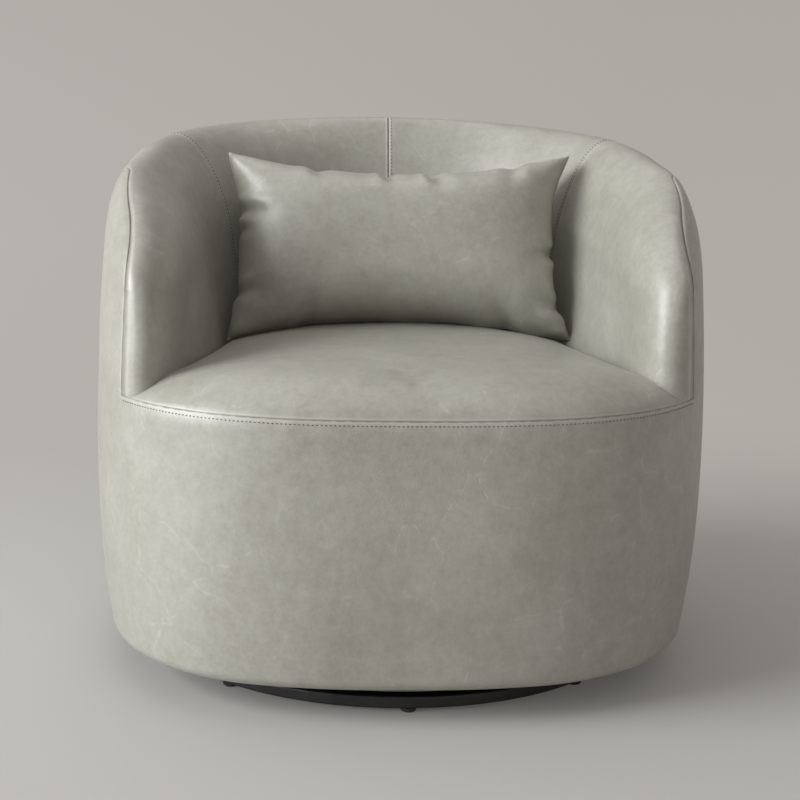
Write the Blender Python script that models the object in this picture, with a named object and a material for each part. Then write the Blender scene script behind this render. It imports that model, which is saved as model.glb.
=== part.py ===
"""Leather barrel armchair that swivels on a steel ring base, in metres, +Z up.

The origin is on the floor under the swivel axis. The chair faces -Y, so its left and right are named as the
sitter has them: left is +X. Azimuths are angles about Z, measured from the front.
"""

import math

import bmesh
import bpy
import numpy as np
from mathutils import Matrix, Vector
from mathutils.bvhtree import BVHTree

# Clearances between pieces that touch
GAP = 0.0003
SEAM_GAP = 0.0004

# Longest corner offset, in thicknesses of the sheet
LONGEST_MITRE = 2.0

# Barrel body: half width at its belly, and how the side draws in above and below it
BELLY_HALF_WIDTH = 0.405
BELLY_HEIGHT = 0.27
DRAW_IN_BELOW = 0.026
DRAW_IN_ABOVE = 0.0261
DEPTH_TO_WIDTH = 0.9736
PLAN_SQUARENESS = 2.7
HEM_HEIGHT = 0.045
HEM_RADIUS = 0.018
HEM_FLANGE = 0.027

# Rail and arms
BACK_RAIL_HEIGHT = 0.7036
RAIL_FALL = 0.085
ARM_FRONT_AZIMUTH = math.radians(54.4)
SIDE_SEAM_AZIMUTH = math.radians(98.0)
INNER_SEAM_AZIMUTH = math.radians(119.3)
ARM_CORNER_DROP = 0.1255
OUTER_ROLL_DEPTH = 0.57
RAIL_ROLL_WIDTH = 0.045
NOSE_ROLL_SHARE = 0.45
NOSE_ROLL_START = 0.2
NOSE_ROLL_END = 0.65
NOSE_ROLL_REACH = 0.4
WALL_WIDTH = 0.1583
INNER_HALF_WIDTH = BELLY_HALF_WIDTH - WALL_WIDTH
INNER_FLARE = 0.147

# Leather and padding
LEATHER = 0.0018
OUTER_FOAM = 0.008
FOAM_EDGE_TRIM = 0.0012
INNER_FOAM = 0.035

# Seat
SEAM_HEIGHT = 0.385
INNER_FLARE_HEIGHT = SEAM_HEIGHT + 0.015
SEAT_SIDE_RISE = 0.021
SEAT_FRONT_ROLL = 0.13
SEAT_FRONT_RISE = 0.026
SEAT_CROWN = 0.012
SEAT_TUCK = 0.016
SEAT_SIDE_GAP = 0.0008
SEAT_FOAM_INSET = 0.0032
SEAT_CORNER_INSET = 0.004

# Timber frame
PLY = 0.018
DECK_TOP = 0.280
DECK_WIDTH = 0.200
DECK_OPENING_RADIUS = BELLY_HALF_WIDTH - DECK_WIDTH
BASE_RING_WIDTH = 0.060
RIB_THICKNESS = 0.022
RIB_DEPTH = 0.031
RIB_SKIN_CLEARANCE = 0.004
TOP_RAIL_HEIGHT = 0.020
TOP_RAIL_WIDTH = 0.030
TOP_RAIL_CLEARANCE = 0.0018
BEARER_WIDTH = 0.045
BEARER_HEIGHT = 0.030
BEARER_SPACING = 0.190
BOARD_WIDTH = 0.300
BOARD_DEPTH = 0.270
DUST_COVER = 0.0008
DUST_COVER_HOLE = 0.190

# Seat springs
SPRING_WIRE = 0.0038
SPRING_SPREAD = 0.695
SPRING_COUNT = 4
SPRING_SPACING = 2 * SPRING_SPREAD * DECK_OPENING_RADIUS / (SPRING_COUNT - 1)
SPRING_LOOPS = 9
SPRING_LOOP_WIDTH = 0.042
SPRING_LANDING = 0.016

# Steel base
RING_INSET = 0.0785
RING_RADIUS = BELLY_HALF_WIDTH - RING_INSET
RING_WIDTH = 0.022
RING_HEIGHT = 0.016
RING_EDGE_RADIUS = 0.003
RING_SEGMENTS = 64
GLIDE_COUNT = 8
GLIDE_RADIUS = 0.010
GLIDE_HEIGHT = 0.0055
GLIDE_STEM_RADIUS = 0.003
GLIDE_STEM_LENGTH = 0.009
CROSS_ARM_WIDTH = 0.040
CROSS_THICKNESS = 0.008
HUB_PLATE_SIDE = 0.180
HUB_PLATE = 0.005

# Swivel bearing
SWIVEL_PLATE_SIDE = 0.160
SWIVEL_PLATE = 0.0025
SWIVEL_HEIGHT = 0.0211
RACE_RADIUS = 0.051
RACE_WIDTH = 0.022
RACE_HEIGHT = 0.006
BALL_RADIUS = 0.004
BALL_COUNT = 12
BALL_CLEARANCE = 0.0004
CAGE_WIDTH = 0.016
CAGE_THICKNESS = 0.0026
RIVET_RADIUS = 0.008
RIVET_HEAD_RADIUS = 0.013
RIVET_HEAD = 0.0023
BOLT_SPACING = 0.124
BOLT_RADIUS = 0.004
BOLT_HEAD_RADIUS = 0.007
BOLT_HEAD = 0.0044
BOLT_CLEARANCE = 0.0004

# Loose pillow
PILLOW_WIDTH_SHARE = 0.973
PILLOW_WIDTH = 2 * INNER_HALF_WIDTH * PILLOW_WIDTH_SHARE
PILLOW_HEIGHT = 0.257
PILLOW_THICKNESS = 0.150
PILLOW_SIDE_DRAW = 0.020
PILLOW_TOP_DRAW = 0.028
PILLOW_BOTTOM_DRAW = 0.022
PILLOW_LEAN = math.radians(20.0)
PILLOW_FRONT_SHARE = 0.357
PILLOW_FRONT = INNER_HALF_WIDTH * PILLOW_FRONT_SHARE
PILLOW_LEATHER = 0.0015
FILL_INSET = PILLOW_LEATHER + 2 * GAP
FILL_EDGE_INSET = 0.011
PILLOW_STEPS_ACROSS = 14
PILLOW_STEPS_UP = 10
ZIP_LENGTH = 0.300
ZIP_THICKNESS = 0.0030
ZIP_HEIGHT = 0.007
ZIP_SUNK = 0.0006

# Heights that follow from the sizes above
RING_TOP = GLIDE_HEIGHT + RING_HEIGHT
CROSS_TOP = RING_TOP - 0.001
HUB_TOP = CROSS_TOP + GAP + HUB_PLATE
SWIVEL_BOTTOM = HUB_TOP + GAP
SWIVEL_TOP = SWIVEL_BOTTOM + SWIVEL_HEIGHT
BALL_HEIGHT = (SWIVEL_BOTTOM + SWIVEL_TOP) / 2
FRAME_BOTTOM = SWIVEL_TOP + GAP
FRAME_RING_TOP = FRAME_BOTTOM + PLY
BARREL_START = HEM_HEIGHT + HEM_RADIUS
SKIN_INSET = LEATHER + GAP
FRAME_INSET = SKIN_INSET + OUTER_FOAM + GAP
DECK_INSET = FRAME_INSET + RIB_SKIN_CLEARANCE + RIB_DEPTH + 3 * GAP

# Stations of the covers: azimuths round the body and heights up it
FRONT_STEPS = 6
ARM_STEPS = 7
SHOULDER_STEPS = 2
BACK_STEPS = 7
RISE_STEPS = 8
ROW_CROWDING = 1.35
SEAM_ROWS = 2
BAND_ROWS = 6


def eased(step, steps):
    """Fraction of a quarter round, fine at its start."""
    return 1 - math.cos(step / steps * math.pi / 2)


def between(start, end, step, steps):
    return start + (end - start) * step / steps


def station_azimuths():
    """Azimuths from the front centre to the back centre, fine round the nose of the arm."""
    front = [between(0, ARM_FRONT_AZIMUTH, i, FRONT_STEPS) for i in range(FRONT_STEPS)]
    arm_span = SIDE_SEAM_AZIMUTH - ARM_FRONT_AZIMUTH
    arm = [ARM_FRONT_AZIMUTH + arm_span * eased(i, ARM_STEPS) for i in range(ARM_STEPS)]
    shoulder = [between(SIDE_SEAM_AZIMUTH, INNER_SEAM_AZIMUTH, i, SHOULDER_STEPS) for i in range(SHOULDER_STEPS)]
    back = [between(INNER_SEAM_AZIMUTH, math.pi, i, BACK_STEPS) for i in range(BACK_STEPS + 1)]
    return front + arm + shoulder + back


AZIMUTHS = station_azimuths()
ARM_START = FRONT_STEPS
SIDE_SEAM = FRONT_STEPS + ARM_STEPS
INNER_SEAM = SIDE_SEAM + SHOULDER_STEPS
BACK_CENTRE = INNER_SEAM + BACK_STEPS
CAVITY_START = ARM_START + 3
RAIL_START = ARM_START + 4
TALL_RIBS = (RAIL_START, INNER_SEAM, INNER_SEAM + 5)
SHORT_RIB = 3


def barrel_half_width(height):
    """Half width of the leather barrel at a height."""
    away = height - BELLY_HEIGHT
    if away > 0:
        return BELLY_HALF_WIDTH - DRAW_IN_ABOVE * (away / (BACK_RAIL_HEIGHT - BELLY_HEIGHT)) ** 2
    return BELLY_HALF_WIDTH - DRAW_IN_BELOW * (away / BELLY_HEIGHT) ** 2


def plan_radius(azimuth, half_width):
    """Radius of the softly squared plan outline of a given half width."""
    across = abs(math.sin(azimuth)) / half_width
    along = abs(math.cos(azimuth)) / (half_width * DEPTH_TO_WIDTH)
    return (across**PLAN_SQUARENESS + along**PLAN_SQUARENESS) ** (-1 / PLAN_SQUARENESS)


def barrel_radius(azimuth, height):
    return plan_radius(azimuth, barrel_half_width(height))


def plan_normal(azimuth):
    """Outward direction of the plan outline."""
    step = 0.01
    before = place(azimuth - step, plan_radius(azimuth - step, 1), 0)
    after = place(azimuth + step, plan_radius(azimuth + step, 1), 0)
    along = (after - before).normalized()
    return Vector((along.y, -along.x, 0))


def inset_radius(azimuth, height, inset):
    """Radius at a depth behind the barrel's leather."""
    return barrel_radius(azimuth, height) - inset / plan_normal(azimuth).dot(place(azimuth, 1, 0))


def rail_height(azimuth):
    """Height of the rail, highest at the back and falling evenly towards the front."""
    return BACK_RAIL_HEIGHT - RAIL_FALL * (1 + math.cos(azimuth)) / 2


def arm_reach(azimuth):
    """1 at the front edge of the arm, 0 from the side seam on."""
    span = SIDE_SEAM_AZIMUTH - ARM_FRONT_AZIMUTH
    return min(1.0, max(0.0, 1 - (azimuth - ARM_FRONT_AZIMUTH) / span))


def edge_height(azimuth):
    """Height of the arm's and rail's edge, with the big quarter round at the arm's front."""
    return rail_height(azimuth) - ARM_CORNER_DROP * (1 - math.sqrt(1 - arm_reach(azimuth) ** 2))


def softened(share):
    """A 0 to 1 ramp with level ends."""
    share = min(1.0, max(0.0, share))
    return share * share * (3 - 2 * share)


def rail_roll(reach, rise):
    """How far the wall's edge leans inwards: not at all low on the arm's nose, fully on the rail."""
    from_nose = softened((rise - NOSE_ROLL_START) / (NOSE_ROLL_END - NOSE_ROLL_START))
    along = NOSE_ROLL_SHARE + (1 - NOSE_ROLL_SHARE) * softened(1 - reach / NOSE_ROLL_REACH)
    return RAIL_ROLL_WIDTH * from_nose * along


def wall_radii(azimuth, height):
    """Outer and inner radius of the leather wall; both are the same on its edge."""
    reach = arm_reach(azimuth)
    rise = min(1.0, max(0.0, 1 - (rail_height(azimuth) - height) / ARM_CORNER_DROP))
    depth = min(1.0, math.hypot(reach, rise))
    roll = rail_roll(reach, rise)
    outer_depth = max(0.0, 1 - (1 - depth) / OUTER_ROLL_DEPTH)
    outer = barrel_radius(azimuth, height)
    inner = INNER_HALF_WIDTH + INNER_FLARE * (height - INNER_FLARE_HEIGHT)
    edge = outer - roll
    outer_face = outer - roll * (1 - math.sqrt(1 - outer_depth**2))
    inner_face = edge - (edge - inner) * math.sqrt(1 - depth**2)
    return outer_face, inner_face


def place(azimuth, radius, height):
    return Vector((radius * math.sin(azimuth), -radius * math.cos(azimuth), height))


def band_heights():
    """Rows of the barrel from the top of the hem's round to the seat seam."""
    below = [between(BARREL_START, DECK_TOP + GAP * 2, i, 3) for i in range(3)]
    above = [between(DECK_TOP + GAP * 2, SEAM_HEIGHT, i, 2) for i in range(3)]
    return below + above


HEM_ROWS = 5
DECK_ROW = HEM_ROWS + 3
SEAM_ROW = HEM_ROWS + BAND_ROWS - 1
EDGE_ROW = SEAM_ROW + RISE_STEPS
COVER_ROW = EDGE_ROW - SEAM_ROWS
CAVITY_ROW = EDGE_ROW - 3


def row_height(column, row):
    """Height of a row above the seat seam at one station."""
    azimuth = AZIMUTHS[column]
    share = 1 - (1 - (row - SEAM_ROW) / RISE_STEPS) ** ROW_CROWDING
    return SEAM_HEIGHT + (edge_height(azimuth) - SEAM_HEIGHT) * share


def outer_point(column, row):
    """Point of the outer face, counted up from the flange that is turned under the hem."""
    azimuth = AZIMUTHS[column]
    start = barrel_radius(azimuth, BARREL_START)
    if row == 0:
        return place(azimuth, start - HEM_RADIUS - HEM_FLANGE, HEM_HEIGHT)
    if row < HEM_ROWS:
        turn = (row - 1) / (HEM_ROWS - 1) * math.pi / 2
        radius = start - HEM_RADIUS * (1 - math.sin(turn))
        return place(azimuth, radius, HEM_HEIGHT + HEM_RADIUS * (1 - math.cos(turn)))
    if row <= SEAM_ROW:
        height = BAND_HEIGHTS[row - HEM_ROWS]
        return place(azimuth, barrel_radius(azimuth, height), height)
    height = row_height(column, row)
    return place(azimuth, wall_radii(azimuth, height)[0], height)


def inner_point(column, row):
    """Point of the inner face, on the same rows as the outer face."""
    azimuth = AZIMUTHS[column]
    height = BAND_HEIGHTS[row - HEM_ROWS] if row <= SEAM_ROW else row_height(column, row)
    return place(azimuth, wall_radii(azimuth, height)[1], height)


BAND_HEIGHTS = band_heights()


def folded(ring):
    """A ring without doubled keys, cut along the diagonal through its first key if it has four."""
    ring = list(dict.fromkeys(ring))
    if len(ring) != 4:
        return [ring]
    first = ring.index(min(ring))
    a, b, c, d = ring[first:] + ring[:first]
    return [[a, b, c], [a, c, d]]


def mesh_normals(points, rings):
    """Step at each point that takes it one unit behind, or ahead of, all the faces that meet there."""
    facing = {}
    for piece in [piece for ring in rings for piece in folded(ring)]:
        a, b, c = [points[key] for key in piece]
        across = (b - a).cross(c - a).normalized()
        for key in piece:
            facing.setdefault(key, []).append(across)
    steps = {}
    for key, normals in facing.items():
        step = Vector(np.linalg.lstsq(np.array(normals), np.ones(len(normals)), rcond=0.25)[0])
        steps[key] = step * min(1, LONGEST_MITRE / step.length)
    return steps


class Surface:
    """Quads between named stations, kept as one half and its mirror image, with a normal at each station."""

    def __init__(self):
        self.points = {}
        self.faces = []

    def key(self, side, face, column, row):
        """Name of a station, the same for both sides on the centre line and for both faces on the edge."""
        if column in (0, BACK_CENTRE):
            side = 1
        if face == "in" and (row == EDGE_ROW or column == ARM_START):
            face = "out"
        name = (side, face, column, row)
        if name not in self.points:
            point = outer_point(column, row) if face == "out" else inner_point(column, row)
            self.points[name] = Vector((side * point.x, point.y, point.z))
        return name

    def quad(self, side, face, column, row, tags=()):
        """One quad between a station and the next column and row, facing out of the leather."""
        ring = [(column, row), (column + 1, row), (column + 1, row + 1), (column, row + 1)]
        if (face == "in") != (side < 0):
            ring.reverse()
        self.faces.append(([self.key(side, face, c, r) for c, r in ring], tags))

    def normals(self):
        return mesh_normals(self.points, [ring for ring, _ in self.faces])


def covers_surface():
    """The whole leather skin of the body, each quad tagged with the cover that it belongs to."""
    surface = Surface()
    for side in (1, -1):
        hand = "left" if side > 0 else "right"
        for column in range(BACK_CENTRE):
            wall = column >= ARM_START
            for row in range(EDGE_ROW if wall else SEAM_ROW):
                band = row < SEAM_ROW or (column > ARM_START and row < COVER_ROW)
                if band:
                    cover = "front_band" if column < SIDE_SEAM else "outside_back"
                else:
                    cover = "inside_arm_" if column < INNER_SEAM else "inside_back_"
                    cover += hand
                surface.quad(side, "out", column, row, (cover,))
            for row in range(SEAM_ROW, EDGE_ROW):
                cover = "inside_arm_" if column < INNER_SEAM else "inside_back_"
                if wall:
                    surface.quad(side, "in", column, row, (cover + hand,))
    return surface


def make_material(name, colour, roughness, metallic=0.0):
    material = bpy.data.materials.new(name)
    material.use_nodes = True
    shader = material.node_tree.nodes["Principled BSDF"]
    shader.inputs["Base Color"].default_value = (*colour, 1.0)
    shader.inputs["Roughness"].default_value = roughness
    shader.inputs["Metallic"].default_value = metallic
    return material


def new_object(name, mesh, material=None, sharp_degrees=40):
    """Put a bmesh into the scene under its sub-part's name."""
    data = bpy.data.meshes.new(name)
    mesh.to_mesh(data)
    mesh.free()
    thing = bpy.data.objects.new(name, data)
    bpy.context.scene.collection.objects.link(thing)
    if material:
        data.materials.append(material)
        data.shade_smooth()
        data.set_sharp_from_angle(angle=math.radians(sharp_degrees))
    return thing


def make_cutter(name, mesh):
    thing = new_object(name, mesh)
    thing.hide_render = True
    thing.display_type = "WIRE"
    return thing


def combine(thing, other, operation):
    change = thing.modifiers.new(other.name, "BOOLEAN")
    change.operation = operation
    change.object = other
    return thing


def solid_from_rings(points, rings):
    """A bmesh of named points and the faces round them; layers of one sheet fold along the same diagonals."""
    mesh = bmesh.new()
    verts = {}
    for ring in rings:
        for key in ring:
            if key not in verts:
                verts[key] = mesh.verts.new(points[key])
        for piece in folded(ring):
            mesh.faces.new([verts[key] for key in piece])
    return mesh


def thicken(points, rings, normals, front, back, trim):
    """A closed shell between two offsets of a sheet; its free edges draw back by a trim."""
    edges = {(a, b) for ring in rings for a, b in zip(ring, ring[1:] + ring[:1])}
    rim = sorted(edge for edge in edges if edge[::-1] not in edges)
    inward = {}
    for a, b in rim:
        for key in (a, b):
            step = normals[key].cross(points[b] - points[a]).normalized()
            inward[key] = inward.get(key, Vector()) + step
    shell, faces = {}, []
    for key in dict.fromkeys(key for ring in rings for key in ring):
        centre = points[key] + inward.get(key, Vector()).normalized() * trim
        shell["front", key] = centre - normals[key] * front
        shell["back", key] = centre - normals[key] * back
    for ring in rings:
        faces.append([("front", key) for key in ring])
        faces.append([("back", key) for key in reversed(ring)])
    for a, b in rim:
        faces.append([("front", b), ("front", a), ("back", a), ("back", b)])
    return solid_from_rings(shell, faces)


def make_body_covers(leather):
    """Leather covers of the body, as cut and sewn: each is one sheet."""
    surface = covers_surface()
    normals = surface.normals()
    for cover in sorted({tags[0] for _, tags in surface.faces}):
        rings = [ring for ring, tags in surface.faces if tags[0] == cover]
        shell = thicken(surface.points, rings, normals, 0, LEATHER, SEAM_GAP / 2)
        new_object(cover + "_cover", shell, leather, 60)


def wall_surface():
    """Both faces of the arm and back wall from the seat deck up to the rail, with the covers' normals."""
    surface = Surface()
    for side in (1, -1):
        for column in range(ARM_START, BACK_CENTRE):
            for row in range(DECK_ROW, EDGE_ROW):
                surface.quad(side, "out", column, row)
                surface.quad(side, "in", column, row)
    normals = surface.normals()
    normals.update(covers_surface().normals())
    return surface, normals


def make_wall_foams(foam):
    """Padding of the arms and back: wrapped over the rail, hollow for the frame, cut apart at the inner seams."""
    surface, normals = wall_surface()
    skin = {}
    for key, point in surface.points.items():
        on_edge = key[3] >= COVER_ROW or (key[2] == ARM_START and key[3] > SEAM_ROW)
        skin[key] = point - normals[key] * (SKIN_INSET + (FOAM_EDGE_TRIM if on_edge else 0))
    hollow = make_cutter("wall_hollow", wall_hollow(surface, normals))
    parts = {
        "arm_foam_left": ((1,), ARM_START, INNER_SEAM),
        "arm_foam_right": ((-1,), ARM_START, INNER_SEAM),
        "back_foam": ((1, -1), INNER_SEAM, BACK_CENTRE),
    }
    for name, (sides, first, last) in parts.items():
        points, rings = dict(skin), []
        for side in sides:
            for column in range(first, last):
                for row in range(DECK_ROW, EDGE_ROW):
                    for face in ("out", "in"):
                        rings.append(quad_ring(surface, side, face, column, row))
                foot = [surface.key(side, f, c, DECK_ROW) for f, c in foot_corners(column)]
                rings.append(foot if side > 0 else foot[::-1])
            seam = seam_section(surface, side)
            rings.append(seam[::-1] if (last == INNER_SEAM) == (side > 0) else seam)
            forward = (last == INNER_SEAM) * 2 - 1
            slide = Vector((-math.cos(INNER_SEAM_AZIMUTH) * side, -math.sin(INNER_SEAM_AZIMUTH), 0))
            for key in seam:
                points[key] = skin[key] + slide * forward * SEAM_GAP / 2
        thing = new_object(name, solid_from_rings(points, rings), foam, 60)
        combine(thing, hollow, "DIFFERENCE")


def quad_ring(surface, side, face, column, row):
    ring = [(column, row), (column + 1, row), (column + 1, row + 1), (column, row + 1)]
    if (face == "in") != (side < 0):
        ring.reverse()
    return [surface.key(side, face, c, r) for c, r in ring]


def foot_corners(column):
    return [("in", column), ("in", column + 1), ("out", column + 1), ("out", column)]


def seam_section(surface, side):
    """Outline of the wall's section at the inner seam."""
    rows = range(DECK_ROW, EDGE_ROW)
    up = [surface.key(side, "out", INNER_SEAM, row) for row in rows]
    down = [surface.key(side, "in", INNER_SEAM, row) for row in reversed(rows)]
    return up + [surface.key(side, "out", INNER_SEAM, EDGE_ROW)] + down


def hollow_point(surface, normals, key):
    """Point on the inside of the wall's padding."""
    depth = SKIN_INSET + (OUTER_FOAM if key[1] == "out" else INNER_FOAM)
    across = Vector((normals[key].x, normals[key].y, 0)).normalized()
    return surface.points[key] - across * depth


def wall_hollow(surface, normals):
    """The space inside the wall, open below, as one closed cutter."""
    points, rings = {}, []
    for side in (1, -1):
        for column in range(CAVITY_START, BACK_CENTRE + 1):
            for face in ("out", "in"):
                for row in range(DECK_ROW, CAVITY_ROW + 1):
                    key = surface.key(side, face, column, row)
                    points[key] = hollow_point(surface, normals, key)
                    if row == DECK_ROW:
                        points[key].z -= PLY
        for column in range(CAVITY_START, BACK_CENTRE):
            for row in range(DECK_ROW, CAVITY_ROW):
                for face in ("out", "in"):
                    rings.append(quad_ring(surface, side, face, column, row))
            for row, turned in ((DECK_ROW, side < 0), (CAVITY_ROW, side > 0)):
                ring = [surface.key(side, f, c, row) for f, c in foot_corners(column)]
                rings.append(ring[::-1] if turned else ring)
        for row in range(DECK_ROW, CAVITY_ROW):
            corners = (("out", row), ("out", row + 1), ("in", row + 1), ("in", row))
            ring = [surface.key(side, f, CAVITY_START, r) for f, r in corners]
            rings.append(ring if side > 0 else ring[::-1])
    return solid_from_rings(points, rings)


def make_band_foam(foam):
    """Hoop of padding round the barrel below the seat deck."""
    surface = Surface()
    for side in (1, -1):
        for column in range(BACK_CENTRE):
            for row in range(HEM_ROWS, DECK_ROW):
                surface.quad(side, "out", column, row)
    rings = [ring for ring, _ in surface.faces]
    inner = SKIN_INSET + OUTER_FOAM
    shell = thicken(surface.points, rings, surface.normals(), SKIN_INSET, inner, GAP)
    new_object("band_foam", shell, foam, 60)


class Seat:
    """The seat's upper surface, on the stations of the wall and front that bound it."""

    across = 2 * FRONT_STEPS
    along = BACK_CENTRE - ARM_START - FRONT_STEPS

    def __init__(self):
        inner = Surface()
        for side in (1, -1):
            for column in range(ARM_START, BACK_CENTRE):
                for row in range(DECK_ROW, EDGE_ROW):
                    inner.faces.append((self.inner_ring(inner, side, column, row), ()))
        self.wall, self.wall_normals = inner, inner.normals()

    @staticmethod
    def inner_key(surface, side, column, row):
        name = (1 if column == BACK_CENTRE else side, "seat", column, row)
        if name not in surface.points:
            point = inner_point(column, row)
            surface.points[name] = Vector((name[0] * point.x, point.y, point.z))
        return name

    def inner_ring(self, surface, side, column, row):
        ring = [(column, row), (column + 1, row), (column + 1, row + 1), (column, row + 1)]
        if side > 0:
            ring.reverse()
        return [self.inner_key(surface, side, c, r) for c, r in ring]

    def station(self, i, j):
        """Side and column of a place on the seat's rim."""
        side = 1 if i > FRONT_STEPS or (i == FRONT_STEPS and j > 0) else -1
        if j == 0:
            return (1 if i >= FRONT_STEPS else -1), abs(i - FRONT_STEPS)
        if i in (0, self.across):
            return side, ARM_START + j
        return side, BACK_CENTRE - abs(i - FRONT_STEPS)

    def rim_point(self, i, j, height, inset):
        """Point of the rim at a height, drawn in from the front leather or the wall."""
        side, column = self.station(i, j)
        if column <= ARM_START and j == 0:
            radius = barrel_radius(AZIMUTHS[column], height) - SKIN_INSET - inset
            point = place(AZIMUTHS[column], radius, height)
            point.x *= side
            if column == ARM_START:
                normal = self.wall_normals[self.inner_key(self.wall, side, column, SEAM_ROW)]
                point += Vector((normal.x, normal.y, 0)).normalized() * inset
                point -= Vector((point.x, point.y, 0)).normalized() * SEAT_CORNER_INSET
            return point
        rows = range(DECK_ROW, EDGE_ROW)
        row = max([r for r in rows if self.height_of(side, column, r) <= height] or [DECK_ROW])
        low = self.wall.points[self.inner_key(self.wall, side, column, row)]
        high = self.wall.points[self.inner_key(self.wall, side, column, row + 1)]
        normal = self.wall_normals[self.inner_key(self.wall, side, column, row)]
        share = (height - low.z) / (high.z - low.z)
        across = Vector((normal.x, normal.y, 0)).normalized()
        return low.lerp(high, share) + across * inset

    def height_of(self, side, column, row):
        return self.wall.points[self.inner_key(self.wall, side, column, row)].z

    def rim_height(self, i, j):
        """Height of the seat leather at its rim: level with the front seam, then up along the arm."""
        rising = 0 if j == 0 else min(1.0, j / 4)
        return SEAM_HEIGHT + SEAT_SIDE_RISE * math.sin(rising * math.pi / 2)

    def shares(self):
        """How far along the seat each row lies, by the length of its side."""
        steps = [self.rim_point(0, j, self.rim_height(0, j), 0) for j in range(self.along + 1)]
        lengths = [0.0]
        for a, b in zip(steps, steps[1:]):
            lengths.append(lengths[-1] + (b - a).length)
        return [length / lengths[-1] for length in lengths]

    def patch(self, rim):
        """Fill a rim, given as a function of its place, with an even grid."""
        last_i, last_j = self.across, self.along
        grid = {}
        for j, v in enumerate(self.shares()):
            for i in range(last_i + 1):
                u = i / last_i
                if i in (0, last_i) or j in (0, last_j):
                    grid[i, j] = rim(i, j)
                    continue
                rows = rim(i, 0) * (1 - v) + rim(i, last_j) * v
                columns = rim(0, j) * (1 - u) + rim(last_i, j) * u
                near = rim(0, 0) * (1 - u) + rim(last_i, 0) * u
                far = rim(0, last_j) * (1 - u) + rim(last_i, last_j) * u
                grid[i, j] = rows + columns - near * (1 - v) - far * v
        return grid

    def top(self):
        """The crowned seat, rolled at its front edge and level with the arms at its sides."""
        grid = self.patch(lambda i, j: self.rim_point(i, j, self.rim_height(i, j), SEAT_SIDE_GAP))
        length = (grid[FRONT_STEPS, self.along] - grid[FRONT_STEPS, 0]).length
        for (i, j), point in grid.items():
            u, v = abs(i / FRONT_STEPS - 1), self.shares()[j]
            roll = min(1.0, v * length / SEAT_FRONT_ROLL)
            fade = (1 - u**4) * (1 - v**3)
            point.z += SEAT_FRONT_RISE * fade * math.sqrt(1 - (1 - roll) ** 2)
            point.z += SEAT_CROWN * (1 - u * u) * math.sin(math.pi * v)
        return grid

    def rim_places(self):
        """Places round the rim, counter-clockwise seen from above, from the front right corner."""
        last_i, last_j = self.across, self.along
        front = [(i, 0) for i in range(last_i)]
        left = [(last_i, j) for j in range(last_j)]
        back = [(i, last_j) for i in range(last_i, 0, -1)]
        right = [(0, j) for j in range(last_j, 0, -1)]
        return front + left + back + right

    def quads(self, tag):
        cells = [(i, j) for i in range(self.across) for j in range(self.along)]
        return [[(tag, i, j), (tag, i + 1, j), (tag, i + 1, j + 1), (tag, i, j + 1)] for i, j in cells]


def make_seat(leather, foam):
    """The seat's leather, tucked in along the arms and back, and the foam block under it."""
    seat = Seat()
    top = seat.top()
    points = {("top", i, j): point for (i, j), point in top.items()}
    rings = seat.quads("top")
    places = seat.rim_places()
    for here, there in zip(places, places[1:] + places[:1]):
        if here[1] == 0 and there[1] == 0:
            continue
        for i, j in (here, there):
            tuck = seat.rim_height(i, j) - SEAT_TUCK
            points["tuck", i, j] = seat.rim_point(i, j, tuck, SEAT_SIDE_GAP)
        rings.append([("top", *there), ("top", *here), ("tuck", *here), ("tuck", *there)])
    normals = mesh_normals(points, rings)
    new_object("seat_cover", thicken(points, rings, normals, 0, LEATHER, 0), leather, 60)

    inset = SEAT_SIDE_GAP + SEAT_FOAM_INSET
    bottom_height = DECK_TOP + 2 * GAP + SPRING_WIRE
    middle_height = (bottom_height + SEAM_HEIGHT) / 2
    foam_points = {}
    for (i, j), point in top.items():
        foam_points["top", i, j] = point - normals["top", i, j] * (SKIN_INSET + GAP)
    for i, j in places:
        height = seat.rim_height(i, j) - 2 * SKIN_INSET
        foam_points["top", i, j] = seat.rim_point(i, j, height, inset)
        foam_points["middle", i, j] = seat.rim_point(i, j, middle_height, inset)
    for (i, j), point in seat.patch(lambda i, j: seat.rim_point(i, j, bottom_height, inset)).items():
        foam_points["bottom", i, j] = point
    foam_rings = seat.quads("top") + [ring[::-1] for ring in seat.quads("bottom")]
    for here, there in zip(places, places[1:] + places[:1]):
        for low, high in (("bottom", "middle"), ("middle", "top")):
            foam_rings.append([(low, *here), (low, *there), (high, *there), (high, *here)])
    new_object("seat_foam", solid_from_rings(foam_points, foam_rings), foam, 60)


def half_ring(name, side, outer, inner, bottom, top, material):
    """One half of a plywood ring, cut on the centre line, with its edge on the body's stations."""
    points, rings = {}, []
    for column, azimuth in enumerate(AZIMUTHS):
        for edge, radius in (("outer", outer(azimuth)), ("inner", inner(azimuth))):
            for level, height in (("low", bottom), ("high", top)):
                point = place(azimuth, radius, height)
                point.x = side * max(point.x, GAP / 2)
                points[edge, level, column] = point
    corners = (("outer", "low"), ("outer", "high"), ("inner", "high"), ("inner", "low"))
    for column in range(BACK_CENTRE):
        for a, b in zip(corners, corners[1:] + corners[:1]):
            ring = [(*a, column), (*a, column + 1), (*b, column + 1), (*b, column)]
            rings.append(ring if side > 0 else ring[::-1])
    for column, turned in ((0, side < 0), (BACK_CENTRE, side > 0)):
        ring = [(*corner, column) for corner in corners]
        rings.append(ring[::-1] if turned else ring)
    new_object(name, solid_from_rings(points, rings), material)


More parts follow.
